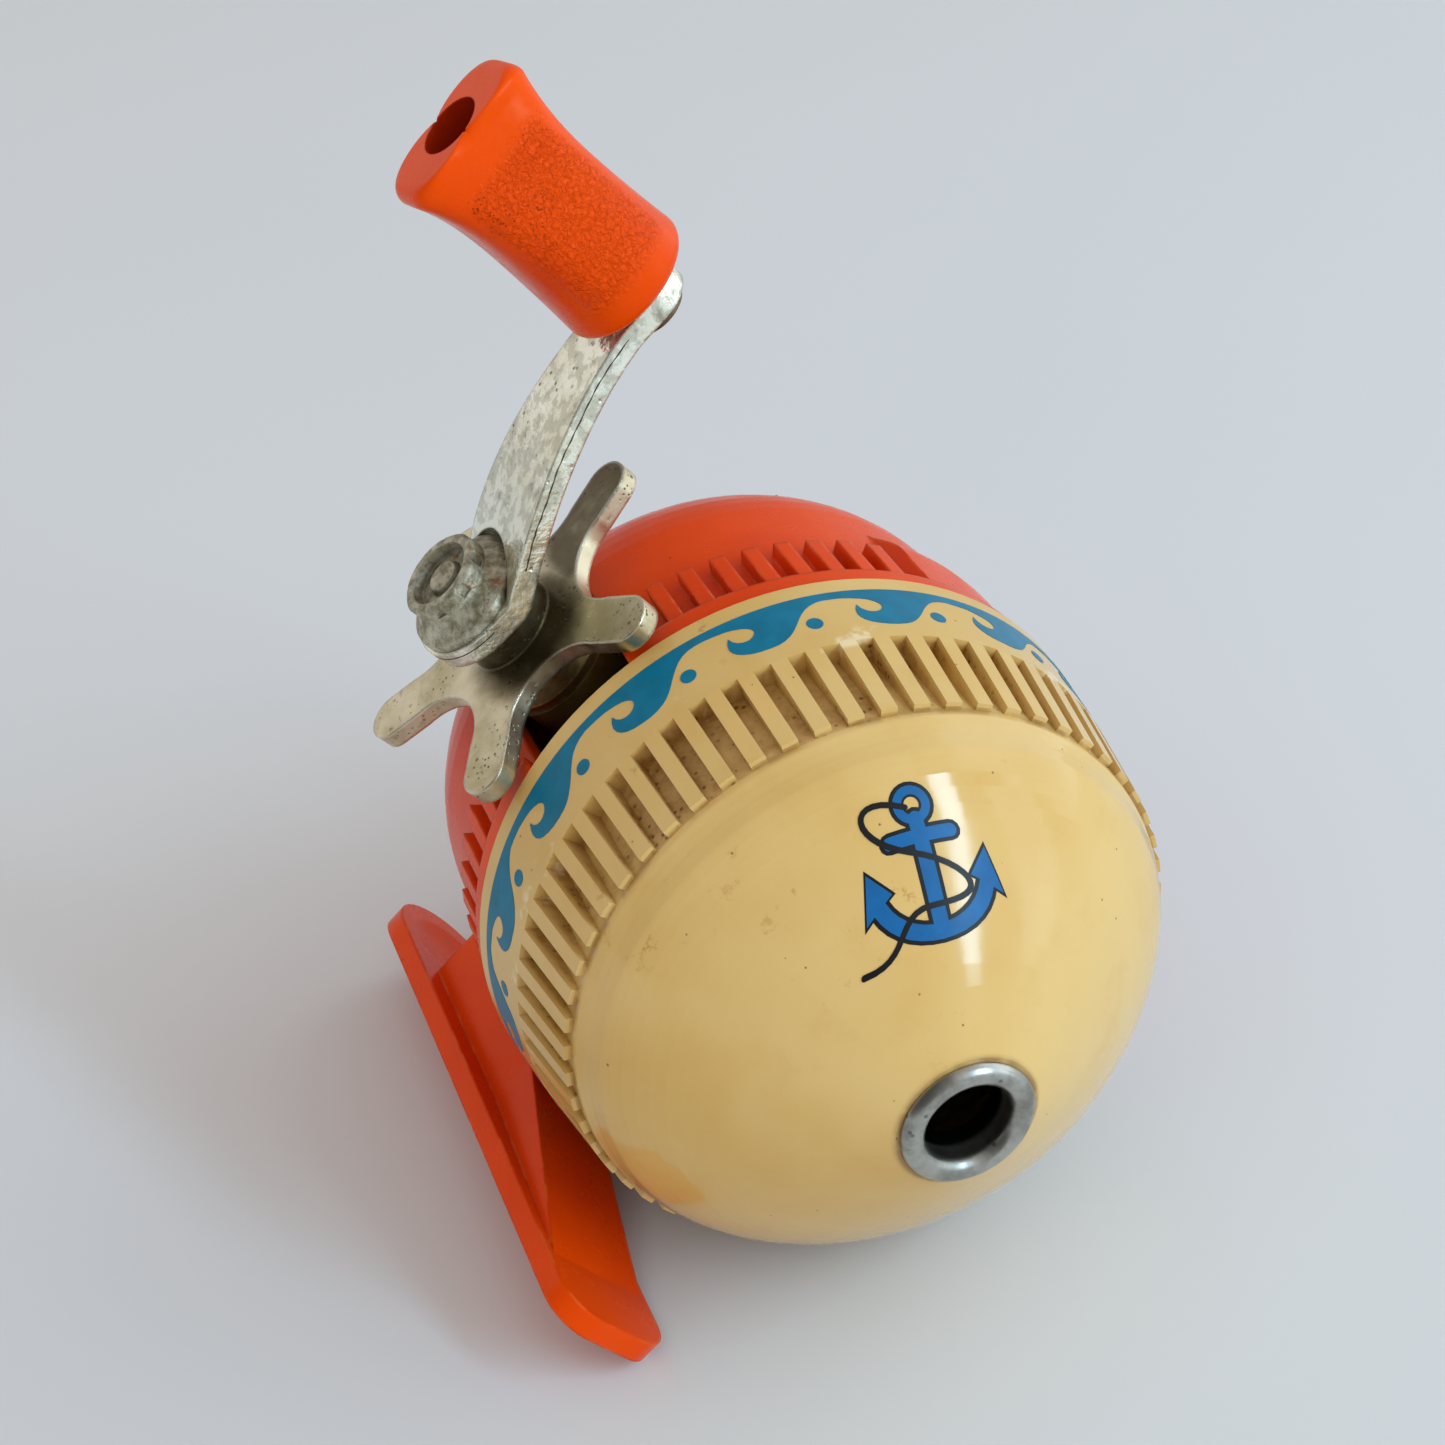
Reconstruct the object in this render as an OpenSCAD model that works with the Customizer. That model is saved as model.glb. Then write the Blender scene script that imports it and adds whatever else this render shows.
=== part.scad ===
// Closed-face spincast fishing reel for a right-hand crank, lying on its left side.
// The pieces are drawn in the reel's own axes, with the centre of the cover's rear rim as zero:
// +X points along the crank shaft, +Y to the nose and +Z up, away from the rod.
// lay_down() then lays the reel on its side: -Y is the nose, +Z is up from the table,
// and the origin is the centre of the line guide's mouth.

/* [Front cover] */
// Radius of the cover's band at its rear rim
rim_r = 31; // [30:0.1:34]
// Length of the smooth band
band_len = 8.8; // [7:0.1:11]
// Radius that the band loses from its rear rim to its front edge
band_taper = 0.9; // [0.4:0.1:1.4]
// Number of grip ribs round the cover
rib_count = 60; // [40:4:72]
// Width of a grip rib
rib_w = 1.5; // [1.2:0.1:2]
// Length of the grip ribs in front of the band
rib_len = 9; // [7:0.1:11]
// Height of the rib ends over the dome
rib_end_h = 0.7; // [0.3:0.1:1]
// Depth of the grooves under the band's front edge
groove_d = 2.1; // [1.8:0.1:2.6]
// Length of the dome in front of the ribs
dome_len = 19.2; // [17:0.1:24]
// Wall of the cover
cover_wall = 1.7; // [1.4:0.1:2]

/* [Line guide] */
// Radius of the line guide's bore
guide_r = 3.9; // [3:0.1:4.3]
// Radius of the line guide's flange
guide_flange_r = 6.1; // [5.6:0.1:7]
// Height of the flange in front of the nose
guide_proud = 1.1; // [0.8:0.1:1.6]

/* [Housing] */
// Length of the housing behind the cover
house_len = 37; // [36:0.1:42]
// Step from the cover's rim in to the housing's smooth shell
shell_step = 2.3; // [1.8:0.1:2.6]
// Wall of the housing's shell
shell_wall = 2; // [1.6:0.1:2.2]
// Length of the rim flange behind the cover
flange_len = 2.4; // [1.6:0.1:3]
// Length of the housing's grip ribs
house_rib_len = 7; // [5:0.1:9]
// Width of the notch that the crank boss stands in
notch_w = 12.8; // [12.6:0.1:14]
// Width of the raised block on top
block_w = 19.4; // [17.6:0.1:22]
// Height of the raised block over the shell
block_h = 1.5; // [1:0.1:2]

/* [Foot] */
// Distance from the reel's axis down to the foot's face
foot_drop = 39.2; // [37:0.1:44]
// Length of the foot
foot_len = 65; // [60:0.5:68]
// Width of the foot
foot_w = 12.9; // [12:0.1:15]
// Thickness of the foot's edge
foot_t = 2.3; // [1.8:0.1:2.6]
// Distance from the cover's rim back to the foot's rear tip
foot_back = 38.8; // [36:0.1:41]
// Width of the stem
stem_w = 8.4; // [7:0.1:10]
// Distance from the cover's rim back to the stem's rear face
stem_back = 25; // [22:0.5:28]
// Distance from the cover's rim back to the stem's front face
stem_front = 3.1; // [2.6:0.1:6]
// Length of the ramp in front of the stem
ramp_len = 22; // [16:0.5:24]
// Height of the ramp over the foot's edge
ramp_h = 5.1; // [4:0.1:5.4]

/* [Crank] */
// Distance from the cover's rim back to the crank's axis
crank_back = 13.8; // [13.4:0.1:15]
// Radius of the crank shaft
crank_r = 2.5; // [2.2:0.1:2.7]
// Distance between the crank's axis and the knob's axis
arm_len = 30.3; // [27:0.1:36]
// Thickness of the arm
arm_t = 2.1; // [1.8:0.1:2.6]
// Radius of the arm's round end at the shaft
arm_hub_r = 6.2; // [6:0.1:7.5]
// Radius of the arm's round end at the knob
arm_tip_r = 3.5; // [3.2:0.1:4.5]
// Distance by which the arm is bent outward
arm_rise = 8.2; // [6:0.1:10]
// Radius of the cap nut's flange
nut_r = 5.9; // [5.2:0.1:6]
// Radius of the cap nut's scalloped end
nut_cap_r = 4.2; // [3.8:0.1:4.6]
// Length of the cap nut
nut_len = 3.9; // [3.6:0.1:5]

/* [Star wheel] */
// Number of arms
star_arms = 5; // [5:1:5]
// Radius at the tips
star_r = 17.9; // [17:0.1:19]
// Thickness of the star
star_t = 1.8; // [1.4:0.1:2.2]
// Half the width of an arm
star_arm_r = 2.35; // [2:0.05:2.6]
// Radius of the hollows between the arms
star_hollow_r = 5.9; // [5.5:0.1:6.2]
// Height of the hub over the star
star_hub_h = 3; // [2:0.1:3.6]

/* [Knob] */
// Length of the knob
knob_len = 21.4; // [20:0.1:28]
// Radius of the knob's inner end
knob_in_r = 6.3; // [5.8:0.1:7]
// Radius of the waist
knob_waist_r = 5.7; // [5.4:0.05:6.6]
// Half the width of the outer end
knob_out_r = 7; // [6.6:0.1:8]
// Thickness of the outer end
knob_tip_t = 7.4; // [7.2:0.1:9]
// Turn of the knob's wide side from the arm
knob_turn = 13; // [0:1:20]
// Radius of the hole in the knob's outer end
knob_hole_r = 2.8; // [2.7:0.05:3.2]
// Radius of the rivet's shank
rivet_r = 1.6; // [1.4:0.05:1.8]

/* [Gear train] */
// Teeth of the crown gear
gear_teeth = 32; // [32:4:32]
// Teeth of the pinion
pinion_teeth = 12; // [12:4:12]
// Module of the teeth
gear_mod = 0.6; // [0.58:0.01:0.61]
// Thickness of the crown gear's disc
gear_t = 1.6; // [1.2:0.1:2]
// Thickness of a drag washer
washer_t = 0.5; // [0.4:0.05:0.7]
// Thickness of the ratchet wheel
ratchet_t = 1.5; // [1.2:0.1:1.8]
// Radius of the ratchet wheel
ratchet_r = 6.8; // [6.4:0.1:7.2]
// Teeth of the ratchet wheel
ratchet_teeth = 12; // [12:4:12]

/* [Spool and spinner] */
// Gap between the spool's flanges and the spinner cup's skirt
spool_gap = 1.6; // [1.2:0.1:3]
// Length of the spool
spool_len = 10.2; // [9:0.1:10.6]
// Radius of the spool's core
core_r = 9; // [8:0.1:12]
// Radius of the wound line
line_r = 19.5; // [15:0.1:20]
// Gap between the spinner cup and the inside of the cover
spinner_gap = 1; // [0.8:0.1:1.5]
// Radius of the centre shaft
shaft_r = 1.5; // [1.3:0.05:1.7]
// Travel of the thumb button
push = 4.5; // [3:0.1:4.6]

/* [Clearances] */
// Radial clearance of a shaft in its bore
run_gap = 0.05; // [0.03:0.01:0.09]
// Gap between pieces that move past each other
slide_gap = 0.3; // [0.25:0.05:0.4]
// Seam between the cover and the housing
seam_gap = 0.2; // [0.15:0.05:0.3]

/* [Hidden] */
$fn = 96;
eps = 0.01;

// The pose on the table: the foot's lower edge and the cover's rim touch it together.
foot_reach = sqrt(pow(foot_w / 2, 2) + pow(foot_drop, 2));
lie_turn = acos(rim_r / foot_reach) + atan(foot_w / 2 / foot_drop);

// Front cover
band_front_r = rim_r - band_taper;
dome_r = band_front_r - groove_d;
rib_end_y = band_len + rib_len;
nose_y = rib_end_y + dome_len;
nose_r = guide_flange_r + 0.4;
bore_r = rim_r - 2.4;
inner_r = dome_r - cover_wall;
guide_mouth_y = nose_y + guide_proud;
guide_neck_r = guide_r + 0.7;
guide_back = 3.2;

// Housing
shell_r = rim_r - shell_step;
lip_gap = 0.08;
lip_r = bore_r - lip_gap;
lip_len = 3.2;
house_in_r = shell_r - shell_wall;
flange_r = rim_r - 0.3;
back_flat_r = 8;
back_curve_y = 19;
house_rib_h = 1.5;
back_bulge = 11;
rib_sunk = 2;
house_rib_phase = 4.7;
cover_rib_phase = 2.4;
rib_pitch = 360 / rib_count;

// Deck plate
deck_front = -0.4;
deck_t = 2;
deck_back = deck_front - deck_t;
deck_r = house_in_r - lip_gap;
hub_r = 4.8;
post_r = 2.8;
post_at = house_in_r - 2.4;
block_len = 16;
block_back = 10;
post_len = 12;
screw_r = 1.2;
screw_head_r = 2.2;
screw_len = 8;

// Spool and spinner
spinner_r = inner_r - spinner_gap;
skirt_t = 1.2;
spool_r = spinner_r - skirt_t - spool_gap;
spool_flange_t = 1.2;
spool_front = deck_front + spool_len;
clip_t = 0.6;
hub_front = spool_front + clip_t + 0.2;
pin_r = 0.8;
pin_y = spool_front + 1.6;
disc_t = 1.2;
disc_y = pin_y + pin_r + 0.4;
shaft_boss_len = 1.6;
clip_w = 1.6;
skirt_len = 5;
pin_proud = 0.6;
pin_travel = 1.2;
pin_in = spinner_r - 10.3;
pin_boss_len = 2.4;
pin_collar_at = pin_in + 1.4 + pin_boss_len + pin_travel + 1.4;

// Gear train: the crown gear's teeth face the pinion, which turns on the centre shaft.
gear_r = gear_mod * gear_teeth / 2;
pinion_pitch_r = gear_mod * pinion_teeth / 2;
tooth_len = 1.6;
tooth_add = 0.45;
tooth_ded = 0.6;
mesh_depth = 0.65;
pinion_r = pinion_pitch_r + tooth_add;
sleeve_r = 3;
gear_tip_x = pinion_r - mesh_depth;
gear_face_x = gear_tip_x + 1.1;
gear_rim_r = gear_r + tooth_len / 2 + 0.2;
pinion_back = -crank_back + gear_r - tooth_len / 2 - 0.1;
pinion_front = deck_back - 0.4;

// Crank stack, along the crank's axis
head_t = 1;
head_x = gear_face_x - head_t;
fibre_x = gear_face_x + gear_t;
plate_x = fibre_x + washer_t;
ratchet_x = plate_x + washer_t;
ratchet_out_x = ratchet_x + ratchet_t;
washer_r = 6;
boss_x = ratchet_out_x + slide_gap;
boss_out_x = rim_r - 3.8;
boss_deep = 8;
boss_w = notch_w - 2 * slide_gap;
bush_flange_t = 0.9;
bush_out_x = boss_out_x + bush_flange_t;
sleeve_out_r = crank_r + 0.9;
bush_r = sleeve_out_r + run_gap + 1.2;
star_x = rim_r + slide_gap;
spring_washer_t = 1.2;
sleeve_x = star_x - run_gap - spring_washer_t;
star_out_x = star_x + star_t;
star_hub_r = 4.6;
arm_x = star_out_x + star_hub_h + slide_gap;
arm_out_x = arm_x + arm_t;
nut_x = arm_out_x;
nut_out_x = nut_x + nut_len;
knob_gap = 0.2;
collar_t = 0.8;
nut_seat_r = nut_r + 0.2;
arm_low = 2.6;
arm_level = arm_len - arm_tip_r;
tip_out_x = arm_out_x + arm_rise;
tip_in_x = tip_out_x - arm_t;
knob_x = tip_out_x + collar_t + knob_gap;
rivet_head_r = knob_hole_r - 0.25;
knob_hole_len = 10.5;
rivet_head_x = knob_x + knob_len - knob_hole_len;
rivet_flat = 0.9;
crank_end_x = nut_out_x - 1.6;
knob_bore_r = rivet_r + run_gap;

// Pawl
pawl_pivot_y = -7.4;
pawl_pivot_z = 8.6;
pivot_r = 0.9;
pawl_t = ratchet_t - 0.2;
pawl_post_t = 3.4;
pawl_eye_r = 2;
ratchet_depth = 1;

// Centre shaft, spring and thumb button
shaft_back = -house_len + shell_wall + 3.2;
collar_from_end = 6.5;
collar_y = shaft_back + collar_from_end;
spring_wire = 0.5;
spring_r = shaft_r + 0.5 + spring_wire / 2;
button_w = 14;
button_low = 7.4;
button_high = 22.6;
button_proud = push + 0.4;
button_deep = 3;
window_front = 17.5;
window_past = 2;
bar_w = 8;

// The reel's own axes turned onto the table
module lay_down() {
    rotate([0, lie_turn, 0])
        rotate([0, 0, 180])
            translate([0, -guide_mouth_y, 0])
                children();
}

// Local +Z becomes the way to the nose
module nose_ward() {
    rotate([-90, 0, 0]) children();
}

// Local X is the way to the nose, local Y is up and local Z runs along the crank shaft
module on_crank(x = 0) {
    translate([x, -crank_back, 0])
        rotate([90, 0, 90])
            children();
}

// A ring along the crank's axis from x0 to x1
module crank_ring(x0, x1, r_out, r_in) {
    on_crank(x0)
        difference() {
            cylinder(h = x1 - x0, r = r_out);
            translate([0, 0, -1]) cylinder(h = x1 - x0 + 2, r = r_in);
        }
}

// A ring round the reel's axis from y0 to y1
module nose_ring(y0, y1, r_out, r_in) {
    translate([0, y0, 0])
        nose_ward()
            difference() {
                cylinder(h = y1 - y0, r = r_out);
                translate([0, 0, -1]) cylinder(h = y1 - y0 + 2, r = r_in);
            }
}

// A point at part t of a cubic curve
function curve(a, b, c, d, t) =
    a * pow(1 - t, 3) + 3 * b * t * pow(1 - t, 2) + 3 * c * t * t * (1 - t) + d * pow(t, 3);

// The dome's outline, as [radius, height], from the ribs to the nose; w moves it inward
function dome_points(w = 0) = [
    for (i = [0 : 20])
        curve([dome_r - w, rib_end_y], [dome_r - 0.5 - w, rib_end_y + dome_len * 0.3 - w * 0.6],
              [nose_r + dome_len * 0.62 - w, nose_y - dome_len * 0.33 - w], [nose_r, nose_y - w], i / 20)
];

// The housing's rear outline, as [radius, height], from its side to its flat back
function back_points(w = 0) = [
    for (i = [0 : 16])
        curve([shell_r - w, -back_curve_y], [shell_r - 0.5 - w, -back_curve_y - house_len * 0.26 + w],
              [back_flat_r + back_bulge - w, -house_len + 1 + w], [back_flat_r, -house_len + w], i / 16)
];

// ---- Front cover and line guide ----

module cover_ribs() {
    intersection() {
        nose_ward()
            rotate_extrude()
                polygon([
                    [dome_r - 0.6, band_len - 0.5],
                    [band_front_r, band_len - 0.5],
                    [band_front_r, band_len],
                    [dome_r + rib_end_h, rib_end_y],
                    [dome_r - 0.6, rib_end_y]
                ]);
        for (i = [0 : rib_count - 1])
            rotate([0, -i * rib_pitch - cover_rib_phase, 0])
                translate([dome_r - rib_sunk, band_len - rib_sunk / 2, -rib_w / 2])
                    cube([rim_r - dome_r + 2 * rib_sunk, rib_len + rib_sunk, rib_w]);
    }
}

module front_cover() {
    color([0.86, 0.72, 0.5]) {
        difference() {
            union() {
                nose_ward()
                    rotate_extrude()
                        polygon(concat(
                            [[bore_r, 0], [rim_r, 0], [band_front_r, band_len], [dome_r, band_len]],
                            dome_points(),
                            [[guide_neck_r, nose_y], [guide_neck_r, nose_y - cover_wall]],
                            [for (i = [20 : -1 : 0]) dome_points(cover_wall)[i]],
                            [[inner_r, lip_len + 1.6], [bore_r, lip_len + 0.6]]
                        ));
                cover_ribs();
            }
        }
    }
}

module line_guide() {
    color([0.72, 0.72, 0.7])
        nose_ward()
            rotate_extrude()
                difference() {
                    union() {
                        translate([guide_r, nose_y]) square([guide_flange_r - guide_r - 0.5, guide_proud]);
                        translate([guide_r, nose_y]) square([guide_flange_r - guide_r, guide_proud - 0.5]);
                        translate([guide_flange_r - 0.5, nose_y + guide_proud - 0.5]) circle(r = 0.5);
                        translate([guide_r, nose_y - guide_back])
                            square([guide_neck_r - guide_r, guide_back + 0.1]);
                        translate([guide_r, nose_y - guide_back])
                            square([guide_neck_r - guide_r + 0.5, guide_back - cover_wall - 0.1]);
                    }
                }
}

// ---- Housing with its foot ----

module shell_solid() {
    nose_ward()
        rotate_extrude()
            polygon(concat(
                [[0, -seam_gap], [flange_r, -seam_gap], [flange_r, -flange_len], [shell_r, -flange_len]],
                back_points(),
                [[0, -house_len]]
            ));
}

// The raised block stands over the shell and sinks into it towards the back
module raised_block() {
    intersection() {
        nose_ward()
            rotate_extrude()
                polygon(concat(
                    [[0, -flange_len + 0.4], [shell_r + block_h, -flange_len + 0.4]],
                    [for (i = [0 : 8])
                        [shell_r - 0.1 + (block_h + 0.1) * curve(1, 1, 0.1, 0, i / 8),
                         -block_back + (block_back - block_len) * i / 8]],
                    [[0, -block_len]]
                ));
        translate([-block_w / 2, -block_len, button_high + 0.6])
            cube([block_w, block_len, rim_r]);
    }
}

module shell_hollow() {
    nose_ward()
        rotate_extrude()
            polygon(concat(
                [[0, lip_len + 1], [house_in_r, lip_len + 1]],
                back_points(shell_wall),
                [[0, -house_len + shell_wall]]
            ));
}

module house_rib(angle) {
    rotate([0, -angle, 0])
        translate([shell_r - 1, -flange_len - house_rib_len, -rib_w / 2])
            cube([house_rib_h + 0.9, house_rib_len + 0.1, rib_w]);
}

module foot_outline() {
    round_front = 3.8;
    translate([0, -foot_back + foot_w / 2]) circle(d = foot_w);
    translate([-foot_w / 2, -foot_back + foot_w / 2])
        square([foot_w, foot_len - foot_w / 2 - round_front]);
    for (side = [-1, 1])
        translate([side * (foot_w / 2 - round_front), -foot_back + foot_len - round_front])
            circle(r = round_front);
    translate([-foot_w / 2 + round_front, -foot_back + foot_len - 2 * round_front])
        square([foot_w - 2 * round_front, 2 * round_front]);
}

module foot() {
    top = -foot_drop + foot_t;
    scoop_r = 16;
    difference() {
        translate([0, 0, -foot_drop]) linear_extrude(foot_t) foot_outline();
        translate([0, -foot_back + foot_w / 2 + 1, top + scoop_r - foot_t / 3]) sphere(r = scoop_r);
    }
    translate([-stem_w / 2, -stem_back, top - eps])
        cube([stem_w, stem_back - stem_front, foot_drop - foot_t - house_in_r + 1.2]);
    intersection() {
        translate([foot_w, 0, 0])
            rotate([90, 0, 90])
                mirror([0, 0, 1])
                    linear_extrude(2 * foot_w)
                        polygon([
                            [-stem_front - 1, top - eps],
                            [-stem_front - 1, top + ramp_h],
                            [-stem_front, top + ramp_h],
                            [-stem_front + ramp_len, top],
                            [-stem_front + ramp_len, top - eps]
                        ]);
        linear_extrude(4 * foot_drop, center = true)
            polygon([
                [-stem_w / 2, -stem_front - 1],
                [stem_w / 2, -stem_front - 1],
                [foot_w / 2 - 0.6, -stem_front + ramp_len],
                [-foot_w / 2 + 0.6, -stem_front + ramp_len]
            ]);
    }
}

module screw_posts(r, y0, len) {
    for (angle = [90, 210, 330])
        rotate([0, -angle, 0])
            translate([post_at, y0, 0])
                nose_ward()
                    cylinder(h = len, r = r);
}

module button_window(side) {
    behind = house_len + button_proud + window_past;
    translate([-button_w / 2 - side, -behind, button_low - side])
        cube([button_w + 2 * side, behind - window_front, button_high - button_low + 2 * side]);
}

module rear_housing() {
    color([0.9, 0.28, 0.05])
        difference() {
            union() {
                difference() {
                    union() {
                        shell_solid();
                        nose_ring(-seam_gap - 1, lip_len, lip_r, house_in_r);
                        for (i = [0 : rib_count - 1])
                            if (is_ribbed(i * rib_pitch + house_rib_phase))
                                house_rib(i * rib_pitch + house_rib_phase);
                        raised_block();
                        foot();
                    }
                    shell_hollow();
                }
                difference() {
                    screw_posts(post_r, deck_back - post_len, post_len);
                    screw_posts(screw_r - 0.3, deck_back - screw_len, screw_len + 1);
                }
            }
            button_window(slide_gap);
            translate([crank_r, -crank_back - notch_w / 2 - slide_gap, -notch_w / 2])
                cube([rim_r, crank_back + notch_w / 2 + slide_gap + lip_len + 1, notch_w]);
        }
}

// The housing's ribs leave out the crank's notch, the raised block and the foot's stem
function is_ribbed(angle) =
    (angle > 18 && angle < 68) || (angle > 112 && angle < 254) || (angle > 286 && angle < 342);

module thumb_button() {
    color([0.9, 0.28, 0.05])
        union() {
            intersection() {
                difference() {
                    translate([0, -button_proud, 0]) shell_solid();
                    translate([0, button_deep, 0]) shell_solid();
                }
                button_window(0);
            }
            translate([-bar_w / 2, shaft_back - 2.7, -3])
                cube([bar_w, 2.4, button_low + 6]);
            translate([-bar_w / 2, shaft_back - 2.7, button_low + 0.2])
                cube([bar_w, 5.5, 5]);
        }
}

// ---- Deck plate with the crank boss ----

module deck_plate() {
    color([0.84, 0.72, 0.52])
        difference() {
            union() {
                nose_ring(deck_back, deck_front, deck_r, sleeve_r + run_gap);
                nose_ring(deck_front - eps, hub_front, hub_r, sleeve_r + run_gap);
                translate([boss_x + 2.4, -crank_back - boss_w / 2, -boss_w / 2])
                    cube([boss_out_x - boss_deep - boss_x - 2.4,
                          crank_back + boss_w / 2 + deck_back + eps, boss_w]);
                on_crank(boss_out_x - boss_deep - eps) cylinder(h = boss_deep + eps, r = boss_w / 2);
                translate([boss_x, -crank_back + pawl_pivot_y - 2.4, -boss_w / 2])
                    cube([pawl_post_t, 6, boss_w / 2 + pawl_pivot_z + 2.2]);
            }
            on_crank(0) cylinder(h = rim_r, r = bush_r);
            translate([boss_x - 1, -crank_back + pawl_pivot_y, pawl_pivot_z])
                rotate([0, 90, 0]) cylinder(h = 6, r = pivot_r);
            screw_posts(screw_r + 0.1, deck_back - 1, deck_t + 2);
        }
}

module deck_screws() {
    color([0.6, 0.6, 0.62])
        for (angle = [90, 210, 330])
            rotate([0, -angle, 0])
                translate([post_at, deck_front, 0])
                    nose_ward()
                        difference() {
                            union() {
                                translate([0, 0, -screw_len + 0.4])
                                    cylinder(h = screw_len - 0.4, r = screw_r - 0.3);
                                cylinder(h = 1.2, r = screw_head_r);
                            }
                            for (turn = [0, 90])
                                rotate([0, 0, turn])
                                    translate([-1.4, -0.25, 0.6]) cube([2.8, 0.5, 1]);
                        }
}

// ---- Spool and spinner ----

module spool() {
    color([0.75, 0.75, 0.72])
        nose_ward()
            rotate_extrude()
                polygon([
                    [hub_r, deck_front],
                    [core_r, deck_front],
                    [core_r, deck_front + 1.4],
                    [spool_r, deck_front + 1.4],
                    [spool_r, deck_front + 1.4 + spool_flange_t],
                    [core_r, deck_front + 1.4 + spool_flange_t],
                    [core_r, spool_front - spool_flange_t],
                    [spool_r, spool_front - spool_flange_t],
                    [spool_r, spool_front],
                    [hub_r, spool_front]
                ]);
}

module line_winding() {
    color([0.8, 0.86, 0.84])
        nose_ring(deck_front + 1.4 + spool_flange_t, spool_front - spool_flange_t, line_r, core_r);
}

module spool_clip() {
    color([0.55, 0.55, 0.57])
        nose_ring(spool_front, spool_front + clip_t, hub_r + 2, hub_r);
}

module spinner_head() {
    color([0.78, 0.78, 0.76])
        difference() {
            union() {
                nose_ring(disc_y, disc_y + disc_t, spinner_r, shaft_r);
                nose_ring(disc_y + disc_t - skirt_len, disc_y + disc_t, spinner_r, spinner_r - skirt_t);
                nose_ring(disc_y, disc_y + disc_t + shaft_boss_len, 4, shaft_r);
                at_pin()
                    translate([-1.8, -pin_r - 0.4, pin_in + 1.4])
                        cube([3.6, 2 * pin_r + 1.3, pin_boss_len]);
            }
            at_pin() translate([0, 0, pin_in - 2]) cylinder(h = rim_r - pin_in, r = pin_r + run_gap);
        }
}

// The pickup pin slides out of the spinner on the side that is highest when the reel lies
module at_pin() {
    rotate([0, lie_turn, 0]) translate([0, pin_y, 0]) children();
}

module pickup_pin() {
    color([0.66, 0.66, 0.68])
        at_pin() {
            translate([0, 0, pin_in]) cylinder(h = spinner_r + pin_proud - pin_in, r = pin_r);
            translate([0, 0, pin_collar_at]) cylinder(h = 0.5, r = pin_r + 0.35);
        }
}

module pin_spring() {
    color([0.5, 0.5, 0.52])
        at_pin()
            translate([0, 0, pin_in + 1.4 + pin_boss_len + 0.12])
                coil(pin_r + 0.22, 0.2, pin_collar_at - pin_in - 1.4 - pin_boss_len - 0.24, 3);
}

// A wire wound as a helix along +Z: mean radius, wire diameter, length and turns
module coil(r, wire, len, turns) {
    sides = 8;
    steps = 12 * turns;
    pitch_angle = atan(len / turns / (2 * PI * r));
    points = [
        for (i = [0 : steps])
            let (a = 360 * i / 12, h = len * i / steps)
                for (k = [0 : sides - 1])
                    let (b = 360 * k / sides,
                         out = wire / 2 * cos(b), up = wire / 2 * sin(b))
                        [(r + out) * cos(a) + up * sin(pitch_angle) * sin(a),
                         (r + out) * sin(a) - up * sin(pitch_angle) * cos(a),
                         h + up * cos(pitch_angle)]
    ];
    faces = concat(
        [[for (k = [sides - 1 : -1 : 0]) k]],
        [for (i = [0 : steps - 1], k = [0 : sides - 1])
            [i * sides + k, i * sides + (k + 1) % sides,
             (i + 1) * sides + (k + 1) % sides, (i + 1) * sides + k]],
        [[for (k = [0 : sides - 1]) steps * sides + k]]
    );
    polyhedron(points, faces, convexity = 10);
}

// ---- Centre shaft ----

module centre_shaft() {
    color([0.62, 0.62, 0.64])
        translate([0, shaft_back, 0])
            nose_ward()
                cylinder(h = disc_y + disc_t + 3 - shaft_back, r = shaft_r);
}

module shaft_clip() {
    color([0.5, 0.5, 0.52])
        nose_ring(disc_y + disc_t + shaft_boss_len, disc_y + disc_t + shaft_boss_len + clip_t,
                  shaft_r + clip_w, shaft_r);
}

module spring_collar() {
    color([0.62, 0.62, 0.64])
        nose_ring(collar_y - 1, collar_y, spring_r + spring_wire, shaft_r);
}

module return_spring() {
    spring_len = pinion_back - collar_y - push - slide_gap - spring_wire - 0.1;
    color([0.5, 0.5, 0.52])
        translate([0, pinion_back - spring_len - spring_wire / 2 - 0.02, 0])
            nose_ward()
                coil(spring_r, spring_wire, spring_len, 8);
}

module pinion_gear() {
    tip_half = 0.24;
    root_half = 0.5;
    root_r = pinion_pitch_r - tooth_ded;
    color([0.75, 0.6, 0.3])
        difference() {
            union() {
                translate([0, pinion_back, 0])
                    nose_ward()
                        linear_extrude(pinion_front - pinion_back)
                            union() {
                                circle(r = root_r + 0.05);
                                for (i = [0 : pinion_teeth - 1])
                                    rotate(i * 360 / pinion_teeth)
                                        polygon([
                                            [root_r - 0.5, -root_half], [pinion_r, -tip_half],
                                            [pinion_r, tip_half], [root_r - 0.5, root_half]
                                        ]);
                            }
                translate([0, pinion_back, 0])
                    nose_ward()
                        cylinder(h = hub_front + 0.2 - pinion_back, r = sleeve_r);
            }
            translate([0, pinion_back - 1, 0])
                nose_ward()
                    cylinder(h = hub_front + 3 - pinion_back, r = shaft_r + run_gap);
        }
}

// ---- Crank stack ----

module crank_shaft() {
    color([0.62, 0.62, 0.64])
        union() {
            on_crank(head_x) cylinder(h = head_t, r = crank_r + 1.5);
            on_crank(head_x) cylinder(h = crank_end_x - head_x, r = crank_r);
        }
}

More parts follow.
